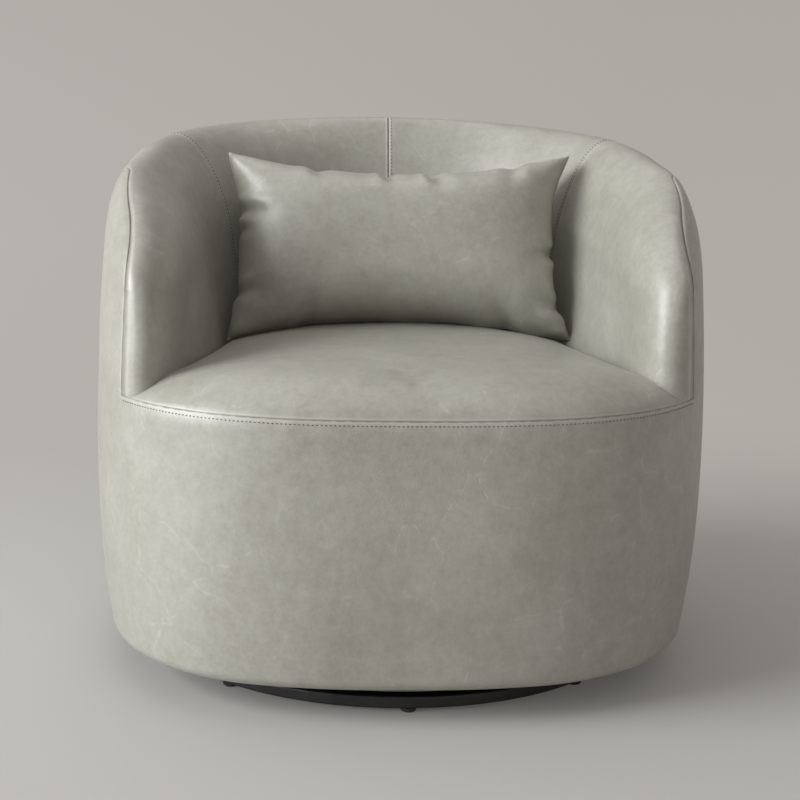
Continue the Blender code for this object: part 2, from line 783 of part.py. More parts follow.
def make_plywood_rings(plywood):
    """Base ring and seat deck, each in two halves."""

    def base_outer(azimuth):
        return barrel_radius(azimuth, BARREL_START) - HEM_RADIUS - SKIN_INSET

    for side, hand in ((1, "left"), (-1, "right")):
        half_ring(
            "frame_base_" + hand, side, base_outer, lambda a: base_outer(a) - BASE_RING_WIDTH,
            FRAME_BOTTOM, FRAME_RING_TOP, plywood,
        )
        half_ring(
            "seat_deck_" + hand, side, lambda a: inset_radius(a, DECK_TOP - PLY, DECK_INSET),
            lambda a: DECK_OPENING_RADIUS, DECK_TOP - PLY, DECK_TOP, plywood,
        )


def rail_top(column):
    return row_height(column, CAVITY_ROW) - TOP_RAIL_CLEARANCE


def make_top_rail(timber):
    """Laminated rail under the roll, bent down at the arms' fronts."""
    surface, normals = wall_surface()
    points, rings = {}, []
    stations = [(1, c) for c in range(RAIL_START, BACK_CENTRE + 1)]
    stations += [(-1, c) for c in range(BACK_CENTRE - 1, RAIL_START - 1, -1)]
    for side, column in stations:
        ends = [hollow_point(surface, normals, surface.key(side, f, column, CAVITY_ROW)) for f in ("out", "in")]
        across = (ends[1] - ends[0]).normalized()
        outer = ends[0] + across * 2 * GAP
        for edge, point in (("outer", outer), ("inner", outer + across * TOP_RAIL_WIDTH)):
            for level, height in (("low", rail_top(column) - TOP_RAIL_HEIGHT), ("high", rail_top(column))):
                points[edge, level, column, side] = Vector((point.x, point.y, height))
    corners = (("outer", "low"), ("outer", "high"), ("inner", "high"), ("inner", "low"))
    spots = [(column, side) for side, column in stations]
    for here, there in zip(spots, spots[1:]):
        for a, b in zip(corners, corners[1:] + corners[:1]):
            rings.append([(*a, *here), (*a, *there), (*b, *there), (*b, *here)])
    rings.append([(*corner, *spots[0]) for corner in corners])
    rings.append([(*corner, *spots[-1]) for corner in reversed(corners)])
    new_object("top_rail", solid_from_rings(points, rings), timber)


def rail_underside(azimuth):
    """Height of the rail's underside at an azimuth."""
    column = max(c for c in range(RAIL_START, BACK_CENTRE) if c == RAIL_START or AZIMUTHS[c] <= azimuth)
    share = (azimuth - AZIMUTHS[column]) / (AZIMUTHS[column + 1] - AZIMUTHS[column])
    top = rail_top(column) + (rail_top(column + 1) - rail_top(column)) * share
    return top - TOP_RAIL_HEIGHT - TOP_RAIL_CLEARANCE - GAP


def station_radius(column, height):
    """Radius of the outer leather at a height, straight between the rows of its station."""
    rows = [outer_point(column, row) for row in range(HEM_ROWS, EDGE_ROW + 1)]
    for low, high in zip(rows, rows[1:]):
        if height <= high.z:
            break
    return low.lerp(high, (height - low.z) / (high.z - low.z)).xy.length


def rib_heights(column, top):
    heights = [FRAME_RING_TOP + GAP]
    heights += [height for height in BAND_HEIGHTS if heights[0] < height < top]
    rows = range(SEAM_ROW + 1, CAVITY_ROW + 1)
    heights += [row_height(column, row) for row in rows if row_height(column, row) < top - RIB_THICKNESS]
    return heights + [top]


def make_rib(name, side, column, top_at, plywood):
    """Plywood rib cut to the barrel's profile, its top end cut to the height above each of its corners."""
    azimuth = AZIMUTHS[column]
    outward = plan_normal(azimuth)
    along = Vector((-outward.y, outward.x, 0))
    points, rings = {}, []
    heights = rib_heights(column, top_at(azimuth))
    depth = FRAME_INSET + RIB_SKIN_CLEARANCE
    for level, height in enumerate(heights):
        skin = place(azimuth, station_radius(column, height), height)
        for face, shift in (("front", -RIB_THICKNESS / 2), ("back", RIB_THICKNESS / 2)):
            for edge, inset in (("outer", depth), ("inner", depth + RIB_DEPTH)):
                point = skin - outward * inset + along * shift
                if level == len(heights) - 1:
                    point.z = top_at(math.atan2(point.x, -point.y))
                points[face, edge, level] = Vector((side * point.x, point.y, point.z))
    corners = (("front", "outer"), ("back", "outer"), ("back", "inner"), ("front", "inner"))
    for level in range(len(heights) - 1):
        for a, b in zip(corners, corners[1:] + corners[:1]):
            rings.append([(*a, level), (*b, level), (*b, level + 1), (*a, level + 1)])
    rings.append([(*corner, 0) for corner in reversed(corners)])
    rings.append([(*corner, len(heights) - 1) for corner in corners])
    if side < 0:
        rings = [ring[::-1] for ring in rings]
    new_object(name, solid_from_rings(points, rings), plywood)


def make_ribs(plywood):
    """Three tall ribs and a short one on each side, from the base ring to the rail or the deck."""
    for side, hand in ((1, "left"), (-1, "right")):
        for column, place_name in zip(TALL_RIBS, ("front", "middle", "back")):
            make_rib(f"rib_{place_name}_{hand}", side, column, rail_underside, plywood)
        make_rib(f"rib_short_{hand}", side, SHORT_RIB, lambda azimuth: DECK_TOP, plywood)


def box(name, size, centre, material, bevel):
    """A bevelled block."""
    mesh = bmesh.new()
    bmesh.ops.create_cube(mesh, size=1.0)
    bmesh.ops.scale(mesh, vec=size, verts=mesh.verts)
    bmesh.ops.translate(mesh, vec=centre, verts=mesh.verts)
    thing = new_object(name, mesh, material)
    edge = thing.modifiers.new("edge", "BEVEL")
    edge.width = bevel
    edge.segments = 1
    edge.limit_method = "ANGLE"
    return thing


def turned(profile, segments):
    """A bmesh of a closed (radius, height) outline spun about Z; radius 0 closes it on the axis."""
    mesh = bmesh.new()
    rings = []
    for radius, height in profile:
        if radius == 0:
            rings.append([mesh.verts.new((0, 0, height))])
            continue
        angles = [2 * math.pi * k / segments for k in range(segments)]
        rings.append([mesh.verts.new((radius * math.cos(a), radius * math.sin(a), height)) for a in angles])
    open_axis = len(rings[0]) > 1
    pairs = list(zip(rings, rings[1:] + rings[:1])) if open_axis else list(zip(rings, rings[1:]))
    for low, high in pairs:
        for k in range(segments):
            m = (k + 1) % segments
            ring = [low[k % len(low)], low[m % len(low)], high[m % len(high)], high[k % len(high)]]
            mesh.faces.new(list(dict.fromkeys(ring)))
    bmesh.ops.recalc_face_normals(mesh, faces=mesh.faces)
    return mesh


def square_places(spacing):
    """The four corners of a square bolt pattern."""
    return [Vector((x * spacing / 2, y * spacing / 2, 0)) for x, y in ((1, 1), (-1, 1), (-1, -1), (1, -1))]


def holes(name, radius, places, low, high, segments=12):
    """Cutter of upright drills."""
    mesh = bmesh.new()
    for spot in places:
        middle = Matrix.Translation((spot.x, spot.y, (low + high) / 2))
        bmesh.ops.create_cone(
            mesh, cap_ends=True, segments=segments, radius1=radius, radius2=radius,
            depth=high - low, matrix=middle,
        )
    return make_cutter(name, mesh)


def make_base(steel):
    """Ring on glides, cross and hub plate."""
    edge, half, base = RING_EDGE_RADIUS, RING_WIDTH / 2, GLIDE_HEIGHT
    middle = RING_RADIUS - half
    outline = []
    rounds = ((1, -1, -90), (1, 1, 0), (-1, 1, 90), (-1, -1, 180))
    for across, up, start in rounds:
        for turn in (0, 45, 90):
            angle = math.radians(start + turn)
            x = middle + across * (half - edge) + edge * math.cos(angle)
            z = base + RING_HEIGHT / 2 + up * (RING_HEIGHT / 2 - edge) + edge * math.sin(angle)
            outline.append((x, z))
    ring = new_object("base_ring", turned(outline, RING_SEGMENTS), steel)
    glide_places = []
    for k in range(GLIDE_COUNT):
        spot = place(2 * math.pi * k / GLIDE_COUNT, middle, 0)
        glide_places.append(spot)
    sockets = GLIDE_STEM_RADIUS + GAP, GLIDE_HEIGHT - edge, GLIDE_HEIGHT + GLIDE_STEM_LENGTH + GAP
    combine(ring, holes("glide_sockets", sockets[0], glide_places, sockets[1], sockets[2], 10), "DIFFERENCE")

    reach = (middle - half) * math.cos(math.pi / RING_SEGMENTS) - GAP
    arm = CROSS_ARM_WIDTH / 2
    tip = math.sqrt(reach**2 - arm**2)
    mesh = bmesh.new()
    corners = []
    for k in range(4):
        turn = Matrix.Rotation(math.radians(45 + 90 * k), 4, "Z")
        corners += [turn @ Vector(p) for p in ((tip, -arm, 0), (tip, arm, 0), (arm, arm, 0))]
    low, high = CROSS_TOP - CROSS_THICKNESS, CROSS_TOP
    bottom = [mesh.verts.new((p.x, p.y, low)) for p in corners]
    mesh.faces.new(bottom[::-1])
    grown = bmesh.ops.extrude_face_region(mesh, geom=mesh.faces[:])
    top = [item for item in grown["geom"] if isinstance(item, bmesh.types.BMVert)]
    bmesh.ops.translate(mesh, vec=(0, 0, high - low), verts=top)
    bmesh.ops.recalc_face_normals(mesh, faces=mesh.faces)
    new_object("base_cross", mesh, steel)

    hub = box(
        "hub_plate", (HUB_PLATE_SIDE, HUB_PLATE_SIDE, HUB_PLATE), (0, 0, HUB_TOP - HUB_PLATE / 2), steel, 0.0008
    )
    below, above = HUB_TOP - 2 * HUB_PLATE, HUB_TOP + HUB_PLATE
    centre = [Vector((0, 0, 0))]
    combine(hub, holes("hub_bolt_holes", BOLT_RADIUS + BOLT_CLEARANCE, square_places(BOLT_SPACING), below, above),
            "DIFFERENCE")
    combine(hub, holes("hub_bore", RIVET_HEAD_RADIUS + 0.002, centre, below, above, 24), "DIFFERENCE")
    return glide_places


def make_glides(places, nylon):
    """Turned nylon glides whose stems are pressed into the ring."""
    foot = GLIDE_HEIGHT - GAP
    stem_top = GLIDE_HEIGHT + GLIDE_STEM_LENGTH
    profile = (
        (0, 0), (GLIDE_RADIUS * 0.8, 0), (GLIDE_RADIUS, foot * 0.3), (GLIDE_RADIUS, foot),
        (GLIDE_STEM_RADIUS, foot), (GLIDE_STEM_RADIUS, stem_top), (0, stem_top),
    )
    for number, spot in enumerate(places, 1):
        glide = new_object(f"glide_{number}", turned(profile, 12), nylon)
        glide.location = spot


def race_outline():
    """Section of the lower race, with the round groove that the balls run in."""
    top = SWIVEL_BOTTOM + SWIVEL_PLATE + RACE_HEIGHT
    low = SWIVEL_BOTTOM + SWIVEL_PLATE / 2
    groove = BALL_RADIUS + BALL_CLEARANCE
    half_open = math.acos((BALL_HEIGHT - top) / groove)
    outline = [(RACE_RADIUS - RACE_WIDTH / 2, low), (RACE_RADIUS + RACE_WIDTH / 2, low)]
    outline += [(RACE_RADIUS + RACE_WIDTH / 2, top)]
    for step in range(7):
        angle = half_open * (1 - step / 3)
        outline.append((RACE_RADIUS + groove * math.sin(angle), BALL_HEIGHT - groove * math.cos(angle)))
    outline += [(RACE_RADIUS - RACE_WIDTH / 2, top)]
    return outline


def make_swivel_plate(name, steel):
    """Square pressed plate with its race; the upper plate is the lower one turned over."""
    upper = name == "swivel_upper_plate"
    middle = SWIVEL_BOTTOM + SWIVEL_PLATE / 2
    plate = box(name, (SWIVEL_PLATE_SIDE, SWIVEL_PLATE_SIDE, SWIVEL_PLATE), (0, 0, middle), steel, 0.0006)
    below, above = SWIVEL_BOTTOM - SWIVEL_PLATE, SWIVEL_BOTTOM + 2 * SWIVEL_PLATE
    cutters = [
        (make_cutter(name + "_race", turned(race_outline(), 48)), "UNION"),
        (holes(name + "_bolt_holes", BOLT_RADIUS + BOLT_CLEARANCE, square_places(BOLT_SPACING), below, above),
         "DIFFERENCE"),
        (holes(name + "_bore", RIVET_RADIUS + BOLT_CLEARANCE, [Vector((0, 0, 0))], below, above, 24),
         "DIFFERENCE"),
    ]
    flip = Matrix.Translation((0, 0, 2 * BALL_HEIGHT)) @ Matrix.Rotation(math.pi, 4, "X")
    for cutter, operation in cutters:
        combine(plate, cutter, operation)
        if upper:
            cutter.data.transform(flip)
    if upper:
        plate.data.transform(flip)


def make_bearing(steel, bright_steel, brass):
    """Plates, balls in their cage and the centre rivet."""
    make_swivel_plate("swivel_lower_plate", steel)
    make_swivel_plate("swivel_upper_plate", steel)
    inner, outer = RACE_RADIUS - CAGE_WIDTH / 2, RACE_RADIUS + CAGE_WIDTH / 2
    low, high = BALL_HEIGHT - CAGE_THICKNESS / 2, BALL_HEIGHT + CAGE_THICKNESS / 2
    cage = new_object("ball_cage", turned(((inner, low), (outer, low), (outer, high), (inner, high)), 48), brass)
    balls = bmesh.new()
    for k in range(BALL_COUNT):
        spot = place(2 * math.pi * k / BALL_COUNT, RACE_RADIUS, BALL_HEIGHT)
        bmesh.ops.create_uvsphere(
            balls, u_segments=10, v_segments=7, radius=BALL_RADIUS, matrix=Matrix.Translation(spot)
        )
    combine(cage, make_cutter("cage_balls", balls), "UNION")

    bottom, top = SWIVEL_BOTTOM - GAP, SWIVEL_TOP + GAP
    profile = (
        (0, bottom - RIVET_HEAD), (RIVET_HEAD_RADIUS, bottom - RIVET_HEAD), (RIVET_HEAD_RADIUS, bottom),
        (RIVET_RADIUS, bottom), (RIVET_RADIUS, top), (RIVET_HEAD_RADIUS, top),
        (RIVET_HEAD_RADIUS, top + RIVET_HEAD), (0, top + RIVET_HEAD),
    )
    new_object("swivel_rivet", turned(profile, 24), bright_steel)


def make_bolts(bright_steel):
    """Button-head bolts: down through the lower plate, and up through the upper plate into the board."""
    head = SWIVEL_BOTTOM + SWIVEL_PLATE + GAP
    tip = HUB_TOP - HUB_PLATE + GAP
    upper_head = SWIVEL_TOP - SWIVEL_PLATE - GAP
    upper_tip = FRAME_RING_TOP - 0.002
    for number, spot in enumerate(square_places(BOLT_SPACING), 1):
        lower = new_object(f"base_bolt_{number}", turned(bolt_profile(head, tip, 1), 12), bright_steel)
        lower.location = spot
        upper = new_object(f"board_bolt_{number}", turned(bolt_profile(upper_head, upper_tip, -1), 12), bright_steel)
        upper.location = spot


def bolt_profile(seat, tip, up):
    """Outline of a bolt whose head sits on a plane and whose shank ends at a tip."""
    crown = seat + up * BOLT_HEAD
    shoulder = seat + up * BOLT_HEAD * 0.45
    return (
        (0, crown), (BOLT_HEAD_RADIUS * 0.6, crown), (BOLT_HEAD_RADIUS, shoulder),
        (BOLT_HEAD_RADIUS, seat), (BOLT_RADIUS, seat), (BOLT_RADIUS, tip), (0, tip),
    )


def make_bearers_and_board(plywood, timber):
    """Board that the swivel is bolted to, under two bearers that span the base ring."""
    middle = FRAME_BOTTOM + PLY / 2
    board = box("mounting_board", (BOARD_WIDTH, BOARD_DEPTH, PLY), (0, 0, middle), plywood, 0.0015)
    below, above = FRAME_BOTTOM - PLY, FRAME_RING_TOP + PLY
    spots = square_places(BOLT_SPACING)
    combine(board, holes("board_bolt_holes", BOLT_RADIUS + BOLT_CLEARANCE, spots, below, above), "DIFFERENCE")
    combine(board, holes("board_bore", RIVET_HEAD_RADIUS + 0.002, [Vector((0, 0, 0))], below, above, 24),
            "DIFFERENCE")
    reach = barrel_radius(math.pi / 2, BARREL_START) - HEM_RADIUS - BASE_RING_WIDTH / 2
    for side, hand in ((-1, "front"), (1, "back")):
        length = 2 * math.sqrt(reach**2 - (BEARER_SPACING / 2) ** 2)
        centre = (0, side * BEARER_SPACING / 2, FRAME_RING_TOP + GAP + BEARER_HEIGHT / 2)
        box(f"bearer_{hand}", (length, BEARER_WIDTH, BEARER_HEIGHT), centre, timber, 0.002)


def make_dust_cover(cloth):
    """Thin cloth under the frame, inside the leather's turned edge, cut out round the swivel."""
    top = HEM_HEIGHT + LEATHER - GAP
    mesh = bmesh.new()
    radii = [barrel_radius(a, BARREL_START) - HEM_RADIUS - HEM_FLANGE - GAP for a in AZIMUTHS]
    half = [place(a, r, top - DUST_COVER) for a, r in zip(AZIMUTHS, radii)]
    outline = half + [Vector((-p.x, p.y, p.z)) for p in reversed(half[1:-1])]
    bottom = mesh.faces.new([mesh.verts.new(p) for p in reversed(outline)])
    grown = bmesh.ops.extrude_face_region(mesh, geom=[bottom])
    lifted = [item for item in grown["geom"] if isinstance(item, bmesh.types.BMVert)]
    bmesh.ops.translate(mesh, vec=(0, 0, DUST_COVER), verts=lifted)
    bmesh.ops.recalc_face_normals(mesh, faces=mesh.faces)
    cover = new_object("dust_cover", mesh, cloth)
    hole = bmesh.new()
    bmesh.ops.create_cube(hole, size=1.0)
    bmesh.ops.scale(hole, vec=(DUST_COVER_HOLE, DUST_COVER_HOLE, PLY), verts=hole.verts)
    bmesh.ops.translate(hole, vec=(0, 0, top), verts=hole.verts)
    combine(cover, make_cutter("dust_cover_hole", hole), "DIFFERENCE")


def make_springs(bright_steel):
    """Sinuous springs that run from front to back across the deck's opening."""
    height = DECK_TOP + GAP + SPRING_WIRE / 2
    for number in range(SPRING_COUNT):
        middle = (number - (SPRING_COUNT - 1) / 2) * SPRING_SPACING
        widest = abs(middle) + SPRING_LOOP_WIDTH / 2
        reach = math.sqrt((DECK_OPENING_RADIUS + SPRING_LANDING) ** 2 - widest**2)
        steps = SPRING_LOOPS * 4
        curve = bpy.data.curves.new(f"seat_spring_{number + 1}", "CURVE")
        curve.dimensions = "3D"
        spline = curve.splines.new("POLY")
        spline.points.add(steps)
        for k, point in enumerate(spline.points):
            swing = max(-0.8, min(0.8, math.sin(2 * math.pi * k / 4 / 2 + math.pi / 4) * 1.2)) / 0.8
            x = middle + SPRING_LOOP_WIDTH / 2 * swing * (0 < k < steps)
            point.co = (x, between(-reach, reach, k, steps), height, 1)
        curve.bevel_depth = SPRING_WIRE / 2
        curve.bevel_resolution = 1
        curve.use_fill_caps = True
        curve.materials.append(bright_steel)
        spring = bpy.data.objects.new(f"seat_spring_{number + 1}", curve)
        bpy.context.scene.collection.objects.link(spring)


def pillow_point(face, i, j, inset, edge_inset):
    """Point of the pillow: flat at its knife edge, full in the middle, sides drawn in between the corners."""
    u, v = 2 * i / PILLOW_STEPS_ACROSS - 1, 2 * j / PILLOW_STEPS_UP - 1
    u, v = math.sin(u * math.pi / 2), math.sin(v * math.pi / 2)
    half_width = PILLOW_WIDTH / 2 - edge_inset - PILLOW_SIDE_DRAW * (1 - v**4)
    draw = PILLOW_TOP_DRAW if v > 0 else PILLOW_BOTTOM_DRAW
    half_height = PILLOW_HEIGHT / 2 - edge_inset - draw * (1 - u * u)
    fullness = ((1 - u**4) * (1 - v**4)) ** 0.62
    depth = (PILLOW_THICKNESS / 2 - inset) * fullness
    return Vector((half_width * u, depth if face == "back" else -depth, half_height * v))


def zip_columns():
    """Columns of the pillow's lower edge that its zip runs along."""
    columns = range(1, PILLOW_STEPS_ACROSS)
    return [i for i in columns if abs(pillow_point("front", i, 0, 0, 0).x) < ZIP_LENGTH / 2]


def pillow_sheet(inset, edge_inset, slit_half_width):
    """Points and quads of the pillow's skin, open along the zip if it has a slit."""
    points, rings = {}, []
    open_columns = zip_columns() if slit_half_width else []

    def key(face, i, j):
        rim = i in (0, PILLOW_STEPS_ACROSS) or j in (0, PILLOW_STEPS_UP)
        slit = j == 0 and i in open_columns
        name = ("rim" if rim and not slit else face, i, j)
        if name not in points:
            point = pillow_point(face, i, j, inset, edge_inset)
            if slit:
                point.y = slit_half_width if face == "back" else -slit_half_width
            points[name] = point
        return name

    for i in range(PILLOW_STEPS_ACROSS):
        for j in range(PILLOW_STEPS_UP):
            ring = [(i, j), (i + 1, j), (i + 1, j + 1), (i, j + 1)]
            pieces = [ring]
            if i in (0, PILLOW_STEPS_ACROSS - 1) and j in (0, PILLOW_STEPS_UP - 1):
                turn = (i > 0) != (j > 0)
                ring = ring[turn:] + ring[:turn]
                pieces = [ring[:3], [ring[0], ring[2], ring[3]]]
            for piece in pieces:
                rings.append([key("front", *cell) for cell in piece])
                rings.append([key("back", *cell) for cell in reversed(piece)])
    return points, rings


def make_zip(brass):
    """Closed zip in the slit of the pillow's lower edge, following its curve."""
    points, rings = {}, []
    columns = zip_columns()
    half_width = ZIP_THICKNESS / 2 - GAP
    for i in columns:
        edge = pillow_point("front", i, 0, 0, 0)
        low, high = edge.z + ZIP_SUNK, edge.z + ZIP_SUNK + ZIP_HEIGHT
        corners = ((-half_width, low), (half_width, low), (half_width, high), (-half_width, high))
        for k, (y, z) in enumerate(corners):
            points[i, k] = Vector((edge.x, y, z))
    for i in columns[:-1]:
        for k in range(4):
            after = (k + 1) % 4
            rings.append([(i, k), (i, after), (i + 1, after), (i + 1, k)])
    rings.append([(columns[0], k) for k in reversed(range(4))])
    rings.append([(columns[-1], k) for k in range(4)])
    return new_object("pillow_zip", solid_from_rings(points, rings), brass)


def make_pillow(leather, fibre, brass):
    """Loose pillow: leather case with a zip along its lower edge, and its filling."""
    slit = ZIP_THICKNESS / 2 + GAP
    points, rings = pillow_sheet(0, 0, slit)
    case = thicken(points, rings, mesh_normals(points, rings), 0, PILLOW_LEATHER, 0)
    case_object = new_object("pillow_cover", case, leather, 60)
    fill_points, fill_rings = pillow_sheet(FILL_INSET, FILL_EDGE_INSET, 0)
    fill = new_object("pillow_fill", solid_from_rings(fill_points, fill_rings), fibre, 60)
    zip_bar = make_zip(brass)
    rest = bpy.data.objects.new("pillow_rest", None)
    bpy.context.scene.collection.objects.link(rest)
    rest.rotation_euler = (-PILLOW_LEAN, 0, 0)
    rest.location = pillow_seat_point(points, rings)
    for piece in (case_object, fill, zip_bar):
        piece.parent = rest


def pillow_seat_point(points, rings):
    """Place of the pillow's middle when it is let down on the seat."""
    bpy.context.view_layer.update()
    lean = Matrix.Rotation(-PILLOW_LEAN, 4, "X")
    samples = [point for point in points.values()]
    samples += [(points[a] + points[b]) / 2 for ring in rings for a, b in zip(ring, ring[1:])]
    seat = BVHTree.FromObject(bpy.data.objects["seat_cover"], bpy.context.evaluated_depsgraph_get())
    drops = []
    for sample in samples:
        start = lean @ sample + Vector((0, PILLOW_FRONT, BACK_RAIL_HEIGHT))
        hit, _, _, drop = seat.ray_cast(start, Vector((0, 0, -1)))
        if hit:
            drops.append(drop)
    return Vector((0, PILLOW_FRONT, BACK_RAIL_HEIGHT - min(drops) + SEAM_GAP))


def main():
    for thing in list(bpy.data.objects):
        bpy.data.objects.remove(thing, do_unlink=True)
    leather = make_material("sage_leather", (0.36, 0.35, 0.29), 0.42)
    foam = make_material("foam", (0.80, 0.76, 0.62), 0.95)
    fibre = make_material("pillow_fibre", (0.88, 0.88, 0.86), 1.0)
    plywood = make_material("plywood", (0.62, 0.46, 0.29), 0.7)
    timber = make_material("timber", (0.70, 0.54, 0.35), 0.7)
    cloth = make_material("dust_cloth", (0.03, 0.03, 0.03), 0.95)
    black_steel = make_material("black_steel", (0.02, 0.02, 0.02), 0.45, 0.6)
    bright_steel = make_material("zinc_steel", (0.62, 0.62, 0.60), 0.35, 1.0)
    brass = make_material("brass", (0.70, 0.55, 0.28), 0.35, 1.0)
    nylon = make_material("black_nylon", (0.03, 0.03, 0.03), 0.55)

    glide_places = make_base(black_steel)
    make_glides(glide_places, nylon)
    make_bearing(black_steel, bright_steel, brass)
    make_bolts(bright_steel)
    make_bearers_and_board(plywood, timber)
    make_plywood_rings(plywood)
    make_ribs(plywood)
    make_top_rail(timber)
    make_springs(bright_steel)
    make_dust_cover(cloth)
    make_band_foam(foam)
    make_wall_foams(foam)
    make_seat(leather, foam)
    make_body_covers(leather)
    make_pillow(leather, fibre, brass)


main()
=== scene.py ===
import math

import bmesh
import bpy
import numpy as np
from mathutils import Matrix, Vector, noise
from mathutils.bvhtree import BVHTree
from mathutils.kdtree import KDTree


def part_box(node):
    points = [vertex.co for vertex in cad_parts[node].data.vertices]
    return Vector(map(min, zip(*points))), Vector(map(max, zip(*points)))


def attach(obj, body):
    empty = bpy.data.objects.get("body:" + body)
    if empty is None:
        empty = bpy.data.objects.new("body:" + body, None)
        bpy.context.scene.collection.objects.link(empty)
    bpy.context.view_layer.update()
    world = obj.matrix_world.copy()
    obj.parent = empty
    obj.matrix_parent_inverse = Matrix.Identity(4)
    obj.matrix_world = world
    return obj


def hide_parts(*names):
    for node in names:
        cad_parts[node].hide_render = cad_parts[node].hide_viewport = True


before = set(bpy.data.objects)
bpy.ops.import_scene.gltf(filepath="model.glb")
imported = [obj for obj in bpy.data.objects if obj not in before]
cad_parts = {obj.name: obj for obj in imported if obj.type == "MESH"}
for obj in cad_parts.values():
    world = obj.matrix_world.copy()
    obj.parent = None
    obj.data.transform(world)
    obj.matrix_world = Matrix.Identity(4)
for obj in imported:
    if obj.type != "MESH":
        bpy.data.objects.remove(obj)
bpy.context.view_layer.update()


# Studio. A pale seamless floor that curves up into the wall all round, one large soft window-like light
# from the chair's right, a weak fill from the other side, and the camera at the photograph's place.

TURN, PITCH, ROLL = math.radians(3.966), math.radians(11.5255), math.radians(1.1034)
FLAT_RADIUS, WALL_ROUND, WALL_TOP = 4.5, 2.5, 5.0

camera_data = bpy.data.cameras.new("camera")
camera = bpy.data.objects.new("camera", camera_data)
bpy.context.scene.collection.objects.link(camera)
bpy.context.scene.camera = camera
camera_data.sensor_width = 36.0
camera_data.lens = 79.551
level_right = Vector((math.cos(TURN), -math.sin(TURN), 0))
level_up = Vector((math.sin(PITCH) * math.sin(TURN), math.sin(PITCH) * math.cos(TURN), math.cos(PITCH)))
look = Vector((math.cos(PITCH) * math.sin(TURN), math.cos(PITCH) * math.cos(TURN), -math.sin(PITCH)))
right = level_right * math.cos(ROLL) + level_up * math.sin(ROLL)
up = level_up * math.cos(ROLL) - level_right * math.sin(ROLL)
camera.matrix_world = Matrix((right, up, -look)).transposed().to_4x4()
camera.location = (-0.1620, -2.3945, 0.8202)
bpy.context.scene.view_settings.view_transform = "Standard"


def fill(tree, node, **inputs):
    """Plug in or set a node's inputs, by name with underscores for spaces, or by number after one."""
    for name, value in inputs.items():
        socket = node.inputs[int(name[1:])] if name[0] == "_" else node.inputs[name.replace("_", " ")]
        if isinstance(value, bpy.types.NodeSocket):
            tree.links.new(value, socket)
        else:
            socket.default_value = value
    return node


def add_node(tree, kind, settings=None, **inputs):
    """Add a shader node with its own settings and its inputs."""
    made = tree.nodes.new("ShaderNode" + kind)
    for name, value in (settings or {}).items():
        setattr(made, name, value)
    return fill(tree, made, **inputs)


def figure(tree, operation, *values):
    """A number worked out from others."""
    inputs = {f"_{number}": value for number, value in enumerate(values)}
    return add_node(tree, "Math", {"operation": operation}, **inputs).outputs[0]


def ramp(tree, value, low=0.0, high=1.0, at_low=0.0, at_high=1.0, **settings):
    """A number taken from one range to another."""
    return add_node(tree, "MapRange", settings, Value=value, From_Min=low, From_Max=high,
                    To_Min=at_low, To_Max=at_high).outputs[0]


def colour_mix(tree, share, first, second):
    return add_node(tree, "Mix", {"data_type": "RGBA"}, _0=share, _6=first, _7=second).outputs[2]


def place_of(tree):
    return add_node(tree, "TexCoord").outputs["Object"]


def new_material(name):
    """A material with nodes, its tree and its shader."""
    made = bpy.data.materials.new(name)
    made.use_nodes = True
    return made, made.node_tree, made.node_tree.nodes["Principled BSDF"]


def soft_light(name, place, aim, width, height, power, colour):
    lamp = bpy.data.lights.new(name, "AREA")
    lamp.shape = "RECTANGLE"
    lamp.size, lamp.size_y = width, height
    lamp.energy = power
    lamp.color = colour
    thing = bpy.data.objects.new(name, lamp)
    bpy.context.scene.collection.objects.link(thing)
    thing.location = place
    thing.rotation_euler = (Vector(aim) - Vector(place)).to_track_quat("-Z", "Y").to_euler()


world = bpy.data.worlds.new("studio")
bpy.context.scene.world = world
world.use_nodes = True
fill(world.node_tree, world.node_tree.nodes["Background"], Color=(1.0, 0.97, 0.91, 1), Strength=0.335)
soft_light("window", (-5.3, -1.85, 2.5), (0, 0, 0.35), 3.7, 3.4, 462, (0.985, 1.0, 1.02))
soft_light("front_fill", (0.6, -3.2, 1.9), (0, 0, 0.3), 2.0, 1.6, 8, (1.0, 0.99, 0.97))
soft_light("top", (-0.3, 0.5, 3.0), (0, 0, 0.3), 2.2, 2.2, 15, (1.0, 0.99, 0.98))

profile = [(0.0, 0.0), (FLAT_RADIUS, 0.0)]
for step in range(1, 13):
    angle = step / 12 * math.pi / 2
    profile.append((FLAT_RADIUS + WALL_ROUND * math.sin(angle), WALL_ROUND * (1 - math.cos(angle))))
profile.append((FLAT_RADIUS + WALL_ROUND, WALL_TOP))
floor_mesh = bmesh.new()
chain = [floor_mesh.verts.new((r, 0, z)) for r, z in profile]
edges = [floor_mesh.edges.new(pair) for pair in zip(chain, chain[1:])]
bmesh.ops.spin(floor_mesh, geom=chain + edges, axis=(0, 0, 1), cent=(0, 0, 0), steps=96, angle=2 * math.pi)
bmesh.ops.remove_doubles(floor_mesh, verts=floor_mesh.verts[:], dist=0.0005)
bmesh.ops.recalc_face_normals(floor_mesh, faces=floor_mesh.faces[:])
if floor_mesh.faces[0].normal.z < 0:
    bmesh.ops.reverse_faces(floor_mesh, faces=floor_mesh.faces[:])
floor_data = bpy.data.meshes.new("floor")
floor_mesh.to_mesh(floor_data)
floor_mesh.free()
floor_data.shade_smooth()
floor = bpy.data.objects.new("floor", floor_data)
bpy.context.scene.collection.objects.link(floor)

